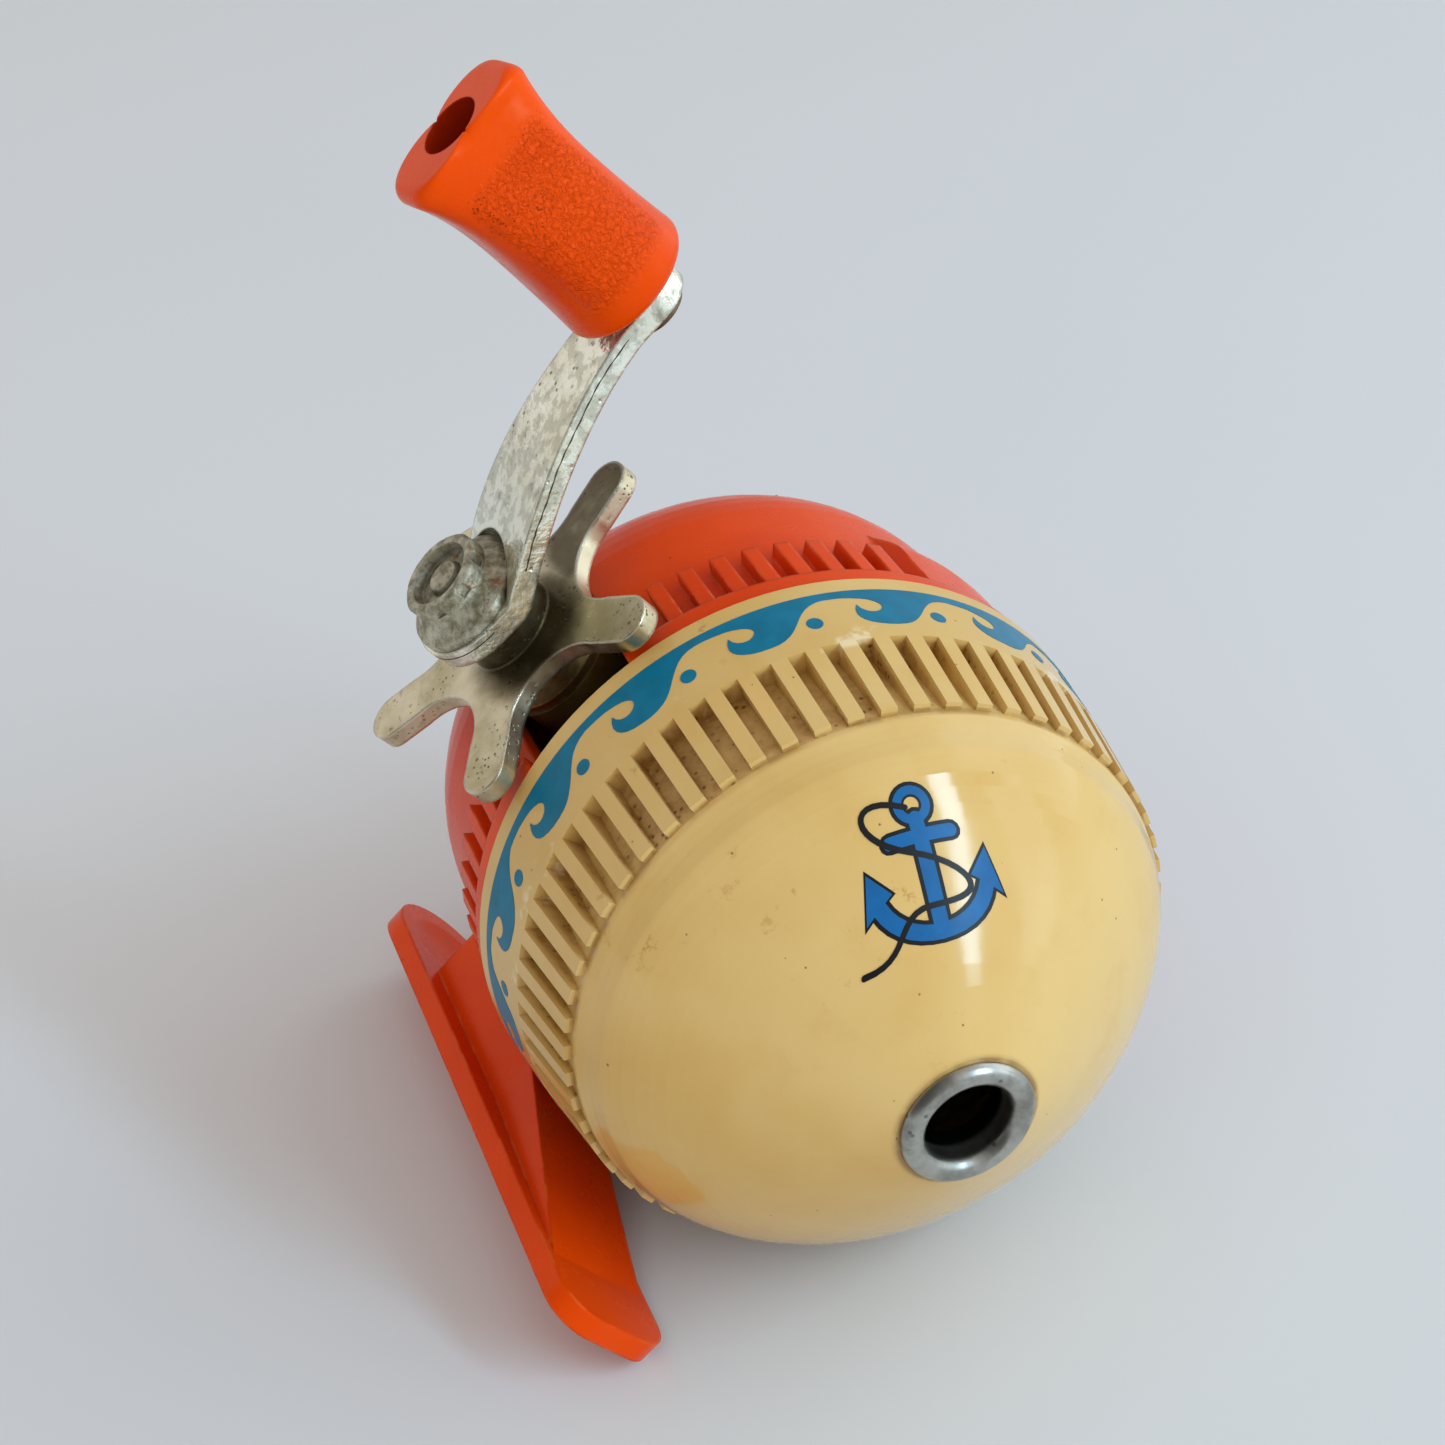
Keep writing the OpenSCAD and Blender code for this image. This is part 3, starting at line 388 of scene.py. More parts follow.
def cream_material(name, cover=True):
    m = Mat(name)
    y, r, x, _ = reel_terms(m)
    clean = srgb(213, 181, 116)
    aged = srgb(204, 167, 94)
    col = m.mix(m.ramp(m.noise(38.0, 3.0, 0.6), 0.35, 0.7), clean, aged)
    col = m.mix(m.mul(m.ramp(m.noise(170.0, 5.0, 0.65, seed=1.7), 0.5, 0.75), 0.25), col, srgb(198, 154, 78))
    if not cover:
        # painted shade on the crank's boss, where it stands back in the notch
        x_out = m.ramp(x, *BOSS_SHADE_X)
        col = m.mix(m.mul(x_out, m.ramp(m.noise(160.0, 3.0), 0.3, 0.7, 0.86, 0.97)), col, srgb(40, 28, 10))
    if cover:
        # the grooves between the ribs: brown dirt on their floors, and painted shade in their corners
        top = m.ramp(y, BAND_LEN, RIB_END_Y, RIM_R - BAND_TAPER, GROOVE_R, smooth=False)
        depth = m.sub(top, r)
        inside = m.mul(m.math("GREATER_THAN", y, BAND_LEN - 0.05), m.math("LESS_THAN", y, RIB_END_Y + 0.2))
        floor = m.mul(m.ramp(depth, 0.25, 0.75), inside)
        patch = m.ramp(m.noise(95.0, 5.0, 0.7, seed=5.0), 0.4, 0.62)
        fine = m.ramp(m.noise(900.0, 4.0, 0.7, seed=2.0), 0.35, 0.7)
        # painted shade: darker in the corners, by an occlusion mask
        crevice_shade = m.ramp(m.cavity(0.0022), 0.55, 0.15)
        dirt = m.mul(floor, m.add(0.06, m.mul(patch, 0.6)))
        dirt = m.add(dirt, m.mul(crevice_shade, inside, 0.3), clamp=True)
        dirt = m.mul(dirt, m.ramp(fine, 0.0, 1.0, 0.65, 1.0))
        col = m.mix(dirt, col, srgb(146, 94, 8))
        grit = m.mul(specks(m, 1500.0, 0.42, 0.3, 1.3), floor, patch)
        col = m.mix(m.mul(grit, 0.75), col, srgb(52, 34, 16))
        # dirt line round the line guide and at the foot of the ribs
        ring = m.mul(m.ramp(r, *NOSE_DIRT_R), m.math("GREATER_THAN", y, NOSE_DIRT_Y))
        ring = m.mul(ring, m.ramp(m.noise(420.0, 4.0), 0.3, 0.6, 0.25, 0.8))
        col = m.mix(ring, col, srgb(138, 104, 58))
        from_foot = m.math("ABSOLUTE", m.sub(y, RIB_END_Y + 0.1))
        lip = m.mul(m.ramp(from_foot, 0.7, 0.0), m.math("LESS_THAN", r, LIP_R))
        lip = m.mul(lip, m.ramp(m.noise(300.0, 3.0, seed=4.0), 0.4, 0.6, 0.1, 0.75))
        col = m.mix(lip, col, srgb(156, 118, 60))
        # pale wear along the band's front edge
        rubbed = m.ramp(m.noise(130.0, 4.0, 0.7, seed=12.0), 0.56, 0.64)
        worn = m.mul(m.ramp(y, *WEAR_Y[:2]), m.ramp(y, *WEAR_Y[2:]), rubbed)
        col = m.mix(m.mul(worn, 0.6), col, srgb(238, 224, 190))
    spots = m.most(specks(m, 260.0, 0.05, 0.22, 0.9), specks(m, 620.0, 0.09, 0.16, 3.9))
    col = m.mix(m.mul(spots, 0.75), col, srgb(74, 52, 34))
    smudge = m.ramp(m.noise(380.0, 5.0, 0.75, seed=7.7), 0.6, 0.68)
    rust = m.mul(smudge, m.ramp(m.noise(42.0, 2.0, seed=8.0), 0.52, 0.66))
    col = m.mix(m.mul(rust, 0.6), col, srgb(170, 116, 50))
    scr = scratches(m, 120.0, 0.012, 0.42, 6.0, U_ROW, AXIS_ROW, 2.2)
    col = m.mix(m.mul(scr, 0.35), col, srgb(176, 142, 86))
    rough = m.ramp(m.noise(60.0, 5.0, 0.65, seed=3.0), 0.3, 0.75, 0.08, 0.18)
    rough = m.add(rough, m.mul(scr, 0.2))
    if cover:
        rough = m.add(rough, m.mul(floor, 0.35), clamp=True)
    peel = m.bump(m.noise(480.0, 2.0), 0.00002, 0.25)
    if cover:
        # a shallow groove between the rib ends and the dome
        moat = m.mul(m.ramp(y, *MOAT_Y[:2]), m.ramp(y, *MOAT_Y[2:]))
        peel = m.bump(m.sub(1.0, moat), 0.00022, 1.0, peel)
    normal = m.bump(scr, 0.00003, 0.5, m.bump(m.noise(55.0, 1.0), 0.00025, 0.2, peel))
    return m.finish(col, rough, 0.0, normal, Specular_IOR_Level=0.42, Subsurface_Weight=0.05,
                    Subsurface_Radius=(0.003, 0.002, 0.001), Subsurface_Scale=0.6)


def orange_material(name, knob=False):
    m = Mat(name)
    bright = srgb(230, 74, 0) if knob else srgb(226, 70, 0)
    deep = srgb(214, 60, 0) if knob else srgb(212, 58, 0)
    col = m.mix(m.ramp(m.noise(45.0, 3.0, 0.55), 0.35, 0.7), bright, deep)
    fine = m.noise(700.0, 3.0, 0.6, seed=1.1)
    spots = specks(m, 300.0, 0.06, 0.2, 0.4)
    col = m.mix(m.mul(spots, 0.6), col, srgb(96, 34, 16))
    if knob:
        # a leathery panel on each broad side, smooth towards the ends and the narrow sides
        k = m.along(R_ROW, place(KNOB_X, 0, 0))
        wide = m.along(turn(0, -math.sin(KNOB_TURN), math.cos(KNOB_TURN)), place(0, -CRANK_BACK, ARM_LEN))
        thin = m.along(turn(0, math.cos(KNOB_TURN), math.sin(KNOB_TURN)), place(0, -CRANK_BACK, ARM_LEN))
        across = m.math("ABSOLUTE", wide)
        panel = m.mul(m.ramp(k, *PANEL_K[:2]), m.ramp(k, *PANEL_K[2:]), m.ramp(across, *PANEL_ACROSS))
        cell = m.voronoi(2300.0, "SMOOTH_F1")
        crease = m.ramp(m.noise(2100.0, 3.0, 0.6, distort=0.8), 0.35, 0.65)
        patch = m.ramp(m.noise(210.0, 3.0, 0.6, seed=9.0), 0.36, 0.62)
        grime = m.mul(m.ramp(k, *SOIL_K[:2]), m.ramp(k, *SOIL_K[2:]), patch)
        dots = m.most(specks(m, 3100.0, 0.42, 0.5, 2.0), specks(m, 1900.0, 0.26, 0.35, 4.0))
        soil = m.mul(dots, grime, m.ramp(across, *SOIL_ACROSS))
        col = m.mix(m.mul(soil, 0.8), col, srgb(104, 40, 8))
        in_hole = m.ramp(m.far(wide, thin), *HOLE_SHADE_R)
        deep = m.mul(in_hole, m.math("GREATER_THAN", k, HOLE_SHADE_K))
        col = m.mix(deep, col, srgb(120, 10, 2))
        height = m.mul(m.add(m.mul(cell, 0.7), m.mul(crease, 0.6)), panel)
        normal = m.bump(height, 0.0002, 1.0, m.bump(m.noise(70.0, 1.0), 0.0003, 0.2))
        rough = m.add(m.mul(panel, 0.06), m.ramp(fine, 0.3, 0.7, 0.22, 0.32))
        return m.finish(col, rough, 0.0, normal, **{**ORANGE_SHEEN, "Specular_IOR_Level": 0.2})
    scr = scratches(m, 140.0, 0.016, 0.5, 7.0, AXIS_ROW, R_ROW, 1.2)
    scr2 = scratches(m, 90.0, 0.012, 0.45, 4.0, U_ROW, AXIS_ROW, 5.2)
    marks = m.most(scr, scr2)
    col = m.mix(m.mul(marks, 0.55), col, srgb(238, 140, 92))
    # painted shade: dark red in the crevices, by an occlusion mask broken up by noise
    crevice_shade = m.ramp(m.cavity(0.004), 0.5, 0.1)
    col = m.mix(m.mul(crevice_shade, m.ramp(m.noise(200.0, 4.0, seed=6.0), 0.35, 0.65), 0.6), col, srgb(92, 26, 10))
    scuff = m.mul(m.ramp(m.edge(0.0005), 0.02, 0.2), m.ramp(m.noise(320.0, 4.0, seed=3.3), 0.5, 0.62))
    col = m.mix(m.mul(scuff, 0.5), col, srgb(240, 128, 70))
    rough = m.add(m.ramp(m.noise(80.0, 5.0, 0.65, seed=3.0), 0.3, 0.75, 0.2, 0.34), m.mul(marks, 0.2))
    peel = m.bump(fine, 0.00002, 0.25, m.bevelled(0.0005))
    normal = m.bump(marks, 0.00003, 0.5, m.bump(m.noise(60.0, 1.0), 0.0003, 0.25, peel))
    return m.finish(col, rough, 0.0, normal, **ORANGE_SHEEN)


def star_material():
    m = Mat("star_nickel")
    blotch = m.ramp(m.noise(150.0, 5.0, 0.65), 0.35, 0.7)
    pits = m.most(specks(m, 1100.0, 0.32, 0.4), specks(m, 2200.0, 0.34, 0.45, 0.5))
    pits = m.mul(pits, m.ramp(m.noise(180.0, 4.0, 0.7, seed=2.0), 0.42, 0.6))
    col = m.mix(blotch, srgb(226, 214, 184), srgb(186, 172, 134))
    col = m.mix(m.mul(pits, 0.8), col, srgb(66, 56, 38))
    # painted shade and painted dark reflection of the crank arm on the outer face, round the hub and up the
    # arm behind it
    y, _, x, z = reel_terms(m)
    ahead = m.add(y, CRANK_BACK)
    off_y = m.sub(ahead, STAR_SHADE_AHEAD)
    off_z = m.sub(z, STAR_SHADE_UP)
    reach = m.far(off_y, off_z)
    cloud = m.noise(260.0, 4.0, 0.6, seed=4.0)
    hub = m.ramp(m.add(reach, m.mul(cloud, 3.0)), *STAR_SHADE_REACH)
    tall = m.ramp(m.add(z, m.mul(cloud, 3.0)), *STAR_SHADE_TALL)
    behind = m.mul(tall, m.ramp(ahead, *STAR_SHADE_BEHIND))
    star_shade = m.mul(m.most(hub, behind), m.ramp(cloud, 0.2, 0.5, 0.8, 1.0))
    top = m.ramp(x, STAR_OUT_X - STAR_FACE[0], STAR_OUT_X - STAR_FACE[1])
    col = m.mix(m.mul(star_shade, top, 0.92), col, srgb(78, 66, 42))
    # the edges polished smoother by wear, with their lighter colour a painted highlight; none on the hub
    polish_and_highlight = m.mul(m.ramp(m.edge(0.0006), 0.04, 0.25), m.sub(1.0, hub))
    col = m.mix(m.mul(polish_and_highlight, 0.7), col, srgb(236, 232, 220))
    rough = m.add(m.ramp(m.noise(500.0, 5.0, 0.7, seed=1.0), 0.3, 0.7, 0.26, 0.42), m.mul(pits, 0.3))
    rough = m.sub(rough, m.mul(polish_and_highlight, 0.12))
    height = m.sub(m.mul(m.noise(700.0, 4.0, 0.6), 0.5), pits)
    normal = m.bump(height, 0.00006, 0.55, m.bevelled(0.0004))
    return m.finish(col, rough, 0.95, normal)


def arm_material():
    m = Mat("arm_metal")
    hammer = m.noise(640.0, 3.0, 0.6)
    blotch = m.ramp(m.noise(120.0, 5.0, 0.7, seed=2.0), 0.35, 0.7)
    pits = m.mul(specks(m, 1300.0, 0.3, 0.35, 0.7), m.ramp(m.noise(150.0, 3.0, seed=3.0), 0.45, 0.65))
    col = m.mix(blotch, srgb(255, 255, 240), srgb(238, 234, 208))
    col = m.mix(m.mul(pits, 0.7), col, srgb(84, 76, 58))
    dents = m.ramp(hammer, 0.54, 0.44)
    col = m.mix(m.mul(dents, 0.4), col, srgb(150, 146, 122))
    grime = m.mul(m.ramp(m.noise(420.0, 5.0, 0.7, seed=6.0), 0.55, 0.68), 0.5)
    col = m.mix(grime, col, srgb(120, 112, 88))
    rough = m.add(m.ramp(blotch, 0.0, 1.0, 0.2, 0.34), m.mul(pits, 0.25))
    height = m.sub(hammer, m.mul(pits, 0.6))
    normal = m.bump(height, 0.00022, 0.8, m.bevelled(0.0004))
    return m.finish(col, rough, 0.9, normal)


def nut_material():
    m = Mat("nut_metal")
    grain = m.noise(900.0, 5.0, 0.65)
    col = m.mix(m.ramp(m.noise(620.0, 5.0, 0.75), 0.34, 0.66), srgb(208, 205, 184), srgb(132, 126, 98))
    flecks = m.ramp(m.noise(620.0, 4.0, 0.7, seed=5.0), 0.58, 0.66)
    rust = m.mul(flecks, m.ramp(m.noise(150.0, 2.0, seed=1.0), 0.4, 0.6))
    col = m.mix(m.mul(rust, 0.85), col, srgb(160, 92, 44))
    # painted shade: near black in the recesses, by an occlusion mask
    dark = m.ramp(m.cavity(0.003), 0.75, 0.3)
    col = m.mix(m.mul(dark, 0.8), col, srgb(36, 34, 26))
    bright = m.ramp(m.edge(0.0003), 0.03, 0.2)
    col = m.mix(m.mul(bright, 0.5), col, srgb(190, 190, 178))
    rough = m.add(m.ramp(grain, 0.3, 0.7, 0.4, 0.62), m.mul(rust, 0.3))
    return m.finish(col, rough, 0.7, m.bump(grain, 0.0003, 0.8, m.bevelled(0.0003)))


def guide_material():
    m = Mat("guide_steel")
    y, r, _, _ = reel_terms(m)
    # painted shade: near black deep inside the bore
    deep = m.mul(m.ramp(r, GUIDE_R + 0.2, GUIDE_R), m.ramp(y, NOSE_Y - 0.4, NOSE_Y - 1.8))
    grain = m.noise(1500.0, 3.0, 0.6)
    wear = m.ramp(m.noise(330.0, 4.0, 0.65), 0.35, 0.7)
    col = m.mix(wear, srgb(184, 183, 176), srgb(144, 142, 134))
    col = m.mix(m.mul(specks(m, 900.0, 0.25, 0.2), 0.6), col, srgb(70, 66, 58))
    col = m.mix(deep, col, srgb(16, 15, 15))
    rough = m.add(m.ramp(wear, 0.0, 1.0, 0.28, 0.38), m.mul(deep, 0.3))
    return m.finish(col, rough, 1.0, m.bump(grain, 0.00004, 0.4))


def plain_metal(name, color, rough):
    m = Mat(name)
    n = m.noise(900.0, 4.0, 0.6)
    col = m.mix(m.ramp(n, 0.35, 0.7), srgb(*color), srgb(*(v * 0.82 for v in color)))
    normal = m.bump(n, 0.00002, 0.4, m.bevelled(0.00012))
    return m.finish(col, m.ramp(n, 0.3, 0.7, rough, rough + 0.14), 1.0, normal)


def plain_matte(name, color, rough):
    m = Mat(name)
    n = m.noise(600.0, 4.0, 0.6)
    col = m.mix(m.ramp(n, 0.35, 0.7), srgb(*color), srgb(*(v * 0.85 for v in color)))
    return m.finish(col, m.ramp(n, 0.3, 0.7, rough, rough + 0.12), 0.0, m.bump(n, 0.00003, 0.4))


def line_material():
    """Nylon line wound side by side on the spool."""
    m = Mat("line_nylon")
    y = m.along(AXIS_ROW, place(0, 0, 0))
    turns = m.mul(y, 2.0 * math.pi / LINE_PITCH)
    lay = m.math("SINE", m.add(turns, m.mul(m.noise(60.0, 2.0), 3.0)))
    # painted shade between the turns and painted highlight on their crests, on the same wave as the bump
    col = m.mix(m.ramp(lay, -1.0, 1.0), srgb(150, 170, 168), srgb(214, 226, 222))
    return m.finish(col, 0.22, 0.0, m.bump(lay, 0.00009, 0.8), Specular_IOR_Level=0.6)


cream = cream_material("cream_plastic")
cream_deck = cream_material("cream_deck", cover=False)
orange = orange_material("orange_plastic")
orange_knob = orange_material("orange_knob", knob=True)
steel = plain_metal("shaft_steel", (176, 176, 178), 0.24)
spring = plain_metal("spring_steel", (150, 150, 154), 0.3)
brass = plain_metal("gear_brass", (196, 160, 92), 0.28)
rivet = plain_metal("rivet_steel", (128, 104, 84), 0.45)
spun = plain_metal("spinner_aluminium", (206, 206, 204), 0.3)
dull = plain_matte("spool_plastic", (200, 200, 190), 0.4)
fibre = plain_matte("fibre", (108, 72, 46), 0.75)

FINISH = {
    "front_cover": cream, "deck_plate": cream_deck, "rear_housing": orange, "thumb_button": orange,
    "knob": orange_knob, "line_guide": guide_material(), "star_wheel": star_material(),
    "crank_arm": arm_material(), "cap_nut": nut_material(), "knob_rivet": rivet,
    "deck_screws": steel, "spool": dull, "line_winding": line_material(), "spool_clip": spring,
    "spinner_head": spun, "pickup_pin": steel, "pin_spring": spring, "centre_shaft": steel,
    "shaft_clip": spring, "spring_collar": steel, "return_spring": spring, "pinion_gear": brass,
    "crank_shaft": steel, "drive_gear": brass, "fibre_washer": fibre, "drag_plate": steel,
    "ratchet_wheel": steel, "pawl": steel, "pawl_pivot": steel, "crank_bushing": brass,
    "drag_sleeve": steel, "spring_washer": spring,
}
for node_name, material in FINISH.items():
    smooth(dress(node_name, material))

# ---- Pieces made here ----


def curve(a, b, c, d, t):
    """A point at part t of a cubic curve through a and d."""
    return tuple(p * (1 - t) ** 3 + 3 * q * t * (1 - t) ** 2 + 3 * r * t * t * (1 - t) + e * t ** 3
                 for p, q, r, e in zip(a, b, c, d))


def ring_faces(rings, around):
    """The faces of a closed ring of rings, with that many points around each."""
    faces = []
    for j in range(rings):
        nxt = (j + 1) % rings
        for i in range(around):
            i2 = (i + 1) % around
            faces.append((j * around + i, j * around + i2, nxt * around + i2, nxt * around + i))
    return faces


def make_piece(name, verts, faces, material, body):
    mesh = bpy.data.meshes.new(name)
    mesh.from_pydata(verts, [], faces)
    mesh.validate()
    obj = bpy.data.objects.new(name, mesh)
    bpy.context.scene.collection.objects.link(obj)
    mesh.materials.append(material)
    smooth(obj)
    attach(obj, body)
    return obj


# The knob: a round inner end that flares into a wide, thin outer end

KNOB_IN_R = 6.3
KNOB_WAIST_R = 5.7
KNOB_WAIST_AT = 0.55
KNOB_WIDE_R = 7.0
KNOB_THIN_R = 3.6
KNOB_SQUARE = 4.6
KNOB_BORE_R = 1.65
KNOB_HOLE_R = 2.8
KNOB_HOLE_LEN = 10.8
KNOB_IN_EDGE = 1.1
KNOB_OUT_EDGE = 1.35
KNOB_HOLE_DRAFT = 0.985
KNOB_HOLE_EDGE = 0.15


def knob_half(t):
    """Half the knob's width and thickness, and how square its section is, at part t of its length."""
    inner = max(0.0, (KNOB_WAIST_AT - t) / KNOB_WAIST_AT) ** 1.6
    outer = max(0.0, (t - KNOB_WAIST_AT) / (1.0 - KNOB_WAIST_AT)) ** 2.3
    wide = KNOB_WAIST_R + (KNOB_IN_R - KNOB_WAIST_R) * inner + (KNOB_WIDE_R - KNOB_WAIST_R) * outer
    thin = KNOB_IN_R + (KNOB_THIN_R - KNOB_IN_R) * t ** 1.5
    return wide, thin, 2.0 + (KNOB_SQUARE - 2.0) * t ** 1.3


def knob_point(u, v, k):
    """u along the wide side, v through the thin one and k along the knob's axis, in mm."""
    forward = v * math.cos(KNOB_TURN) - u * math.sin(KNOB_TURN)
    up = v * math.sin(KNOB_TURN) + u * math.cos(KNOB_TURN)
    return place(KNOB_X + k, forward - CRANK_BACK, up + ARM_LEN)


def build_knob():
    around = 96
    turns = [2 * math.pi * i / around for i in range(around)]

    def ring(wide, thin, square, k):
        out = []
        for a in turns:
            c, n = math.cos(a), math.sin(a)
            out.append((wide * math.copysign(abs(c) ** (2 / square), c),
                        thin * math.copysign(abs(n) ** (2 / square), n), k))
        return out

    def outer_end(part):
        """A ring between the side and the hole's edge, on the flat outer end with its rounded rim."""
        out = []
        for a, (u, v, _) in zip(turns, ring(*knob_half(1.0), 0)):
            side = math.hypot(u, v)
            reach = side + (KNOB_HOLE_R - side) * part * part
            over = max(0.0, 1.0 - (side - reach) / KNOB_OUT_EDGE)
            hole_u, hole_v = math.cos(a), math.sin(a)
            lean = part * part
            way_u = u / side + (hole_u - u / side) * lean
            way_v = v / side + (hole_v - v / side) * lean
            size = math.hypot(way_u, way_v)
            out.append((way_u / size * reach, way_v / size * reach,
                        KNOB_LEN - KNOB_OUT_EDGE * (1 - math.sqrt(1 - over * over))))
        return out

    rings = [ring(KNOB_BORE_R, KNOB_BORE_R, 2, 0)]
    for i in range(7):
        a = math.radians(90 * i / 6)
        r = KNOB_IN_R - KNOB_IN_EDGE * (1 - math.sin(a))
        rings.append(ring(r, r, 2, KNOB_IN_EDGE * (1 - math.cos(a))))
    steps = 40
    low, high = KNOB_IN_EDGE, KNOB_LEN - KNOB_OUT_EDGE
    for i in range(1, steps):
        k = low + (high - low) * i / steps
        rings.append(ring(*knob_half((k - low) / (high - low)), k))
    ends = 22
    for i in range(ends + 1):
        rings.append(outer_end(i / ends))
    floor_k = KNOB_LEN - KNOB_HOLE_LEN
    edge_ring = rings[-1]
    rings.append([(u * KNOB_HOLE_DRAFT, v * KNOB_HOLE_DRAFT, k - KNOB_HOLE_EDGE) for u, v, k in edge_ring])
    floor_r = KNOB_HOLE_R * KNOB_HOLE_DRAFT
    rings.append(ring(floor_r, floor_r, 2, floor_k))
    rings.append(ring(KNOB_BORE_R, KNOB_BORE_R, 2, floor_k))
    verts = [knob_point(*p) for r in rings for p in r]
    obj = make_piece("knob_moulding", verts, ring_faces(len(rings), around), orange_knob, "knob")
    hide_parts("knob")


build_knob()

# The line guide: a rolled ring with its neck, turned round the reel's axis


GUIDE_RIM_W = 1.05
GUIDE_RIM_LIFT = 0.12
GUIDE_WALL = 0.7
GUIDE_SEAT = 0.1


def build_guide():
    around = 96
    ridge_r = GUIDE_FLANGE_R - GUIDE_RIM_W
    high = MOUTH_Y - NOSE_Y
    lift = GUIDE_RIM_LIFT
    out_run = GUIDE_FLANGE_R - ridge_r
    in_run = ridge_r - GUIDE_R
    seat_y = NOSE_Y - GUIDE_SEAT
    profile = [(GUIDE_R + GUIDE_WALL, seat_y), (GUIDE_FLANGE_R - GUIDE_SEAT, seat_y)]
    for i in range(13):
        a = math.radians(90.0 * i / 12)
        profile.append((ridge_r + out_run * math.cos(a), NOSE_Y + lift + (high - lift) * math.sin(a)))
    for i in range(1, 15):
        a = math.radians(90.0 * i / 14)
        profile.append((ridge_r - in_run * math.sin(a), MOUTH_Y - in_run * (1.0 - math.cos(a))))
    profile += [(GUIDE_R, NOSE_Y - GUIDE_BACK), (GUIDE_R + GUIDE_WALL, NOSE_Y - GUIDE_BACK)]
    verts = []
    for r, y in profile:
        verts += [place(r * math.sin(2 * math.pi * i / around), y, r * math.cos(2 * math.pi * i / around))
                  for i in range(around)]
    guide_steel = FINISH["line_guide"]
    obj = make_piece("guide_ring", verts, ring_faces(len(profile), around), guide_steel, "cover")
    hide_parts("line_guide")


build_guide()

# The dark shear line that the punch left along the arm's edges

SHEAR_IN = 0.72
SHEAR_HALF = 0.05
SHEAR_STANDS = (0.02, -0.1)
SHEAR_FROM = 0.2


def arm_face(t):
    """A point of the arm's outer face in x and height, and the way straight into the arm."""
    tip_x, level = ARM_OUT_X + ARM_RISE, ARM_LEN - ARM_TIP_R
    ends = ((ARM_OUT_X, ARM_LOW), (ARM_OUT_X + ARM_RISE * 0.34, level * 0.26),
            (ARM_OUT_X + ARM_RISE * 0.88, level * 0.575), (tip_x, level))
    x, z = curve(*ends, t)
    (x0, z0), (x1, z1) = curve(*ends, t - 0.01), curve(*ends, t + 0.01)
    run = math.hypot(x1 - x0, z1 - z0)
    return x, z, -(z1 - z0) / run, (x1 - x0) / run


def arm_half(z):
    return curve((ARM_HUB_R,), (ARM_HUB_R + 1.0,), (ARM_TIP_R - 0.2,), (ARM_TIP_R,), z / ARM_LEN)[0]


def line_faces(start, steps):
    """The faces of a square thread of four points a step, with its two ends."""
    faces = []
    for i in range(steps):
        a = start + 4 * i
        b = a + 4
        faces += [(a, a + 2, b + 2, b), (a + 1, b + 1, b + 3, a + 3),
                  (a, b, b + 1, a + 1), (a + 2, a + 3, b + 3, b + 2)]
    for a in (start, start + 4 * steps):
        faces.append((a, a + 1, a + 3, a + 2))
    return faces


def build_shear_lines():
    verts, faces = [], []
    round_end = 48
    for i in range(round_end + 1):
        a = math.radians(180.0 * i / round_end)
        for depth in (SHEAR_IN - SHEAR_HALF, SHEAR_IN + SHEAR_HALF):
            for proud in SHEAR_STANDS:
                reach = ARM_HUB_R + proud
                verts.append(place(ARM_OUT_X - depth, reach * math.cos(a) - CRANK_BACK, -reach * math.sin(a)))
    faces += line_faces(0, round_end)
    steps = 150
    for side in (-1.0, 1.0):
        start = len(verts)
        for i in range(steps + 1):
            t = SHEAR_FROM + (1.0 - SHEAR_FROM) * i / steps
            x, z, in_x, in_z = arm_face(t)
            middle = SHEAR_IN + 0.05 * math.sin(i * 0.13 + side) + 0.02 * math.sin(i * 0.5)
            half = SHEAR_HALF * (0.75 + 0.35 * math.sin(i * 0.61 + 2.0 * side)) + 0.02
            for depth in (middle - half, middle + half):
                for proud in SHEAR_STANDS:
                    at_z = z + in_z * depth
                    verts.append(place(x + in_x * depth, side * (arm_half(at_z) + proud) - CRANK_BACK, at_z))
        faces += line_faces(start, steps)
    shear_line = plain_matte("shear_line", (52, 46, 30), 0.6)
    repair_normals(make_piece("arm_shear_lines", verts, faces, shear_line, "crank"))


def repair_normals(obj):
    bm = bmesh.new()
    bm.from_mesh(obj.data)
    bmesh.ops.recalc_face_normals(bm, faces=bm.faces[:])
    bm.to_mesh(obj.data)
    bm.free()


build_shear_lines()

# Printed motifs on the cover: thin sheets of ink that follow its surface

INK_PROUD = 0.035
INK_SUNK = -0.03
CUT = 0.8


def dome_outline(t):
    """Radius and place along the axis at part t of the dome."""
    return curve((DOME_R, RIB_END_Y), (DOME_R - 0.5, RIB_END_Y + DOME_LEN * 0.3),
                 (NOSE_R + DOME_LEN * 0.62, NOSE_Y - DOME_LEN * 0.33), (NOSE_R, NOSE_Y), t)


DOME = [dome_outline(i / 60) for i in range(61)]
DOME_RUN = [0.0]
for (r0, y0), (r1, y1) in zip(DOME, DOME[1:]):
    DOME_RUN.append(DOME_RUN[-1] + math.hypot(r1 - r0, y1 - y0))


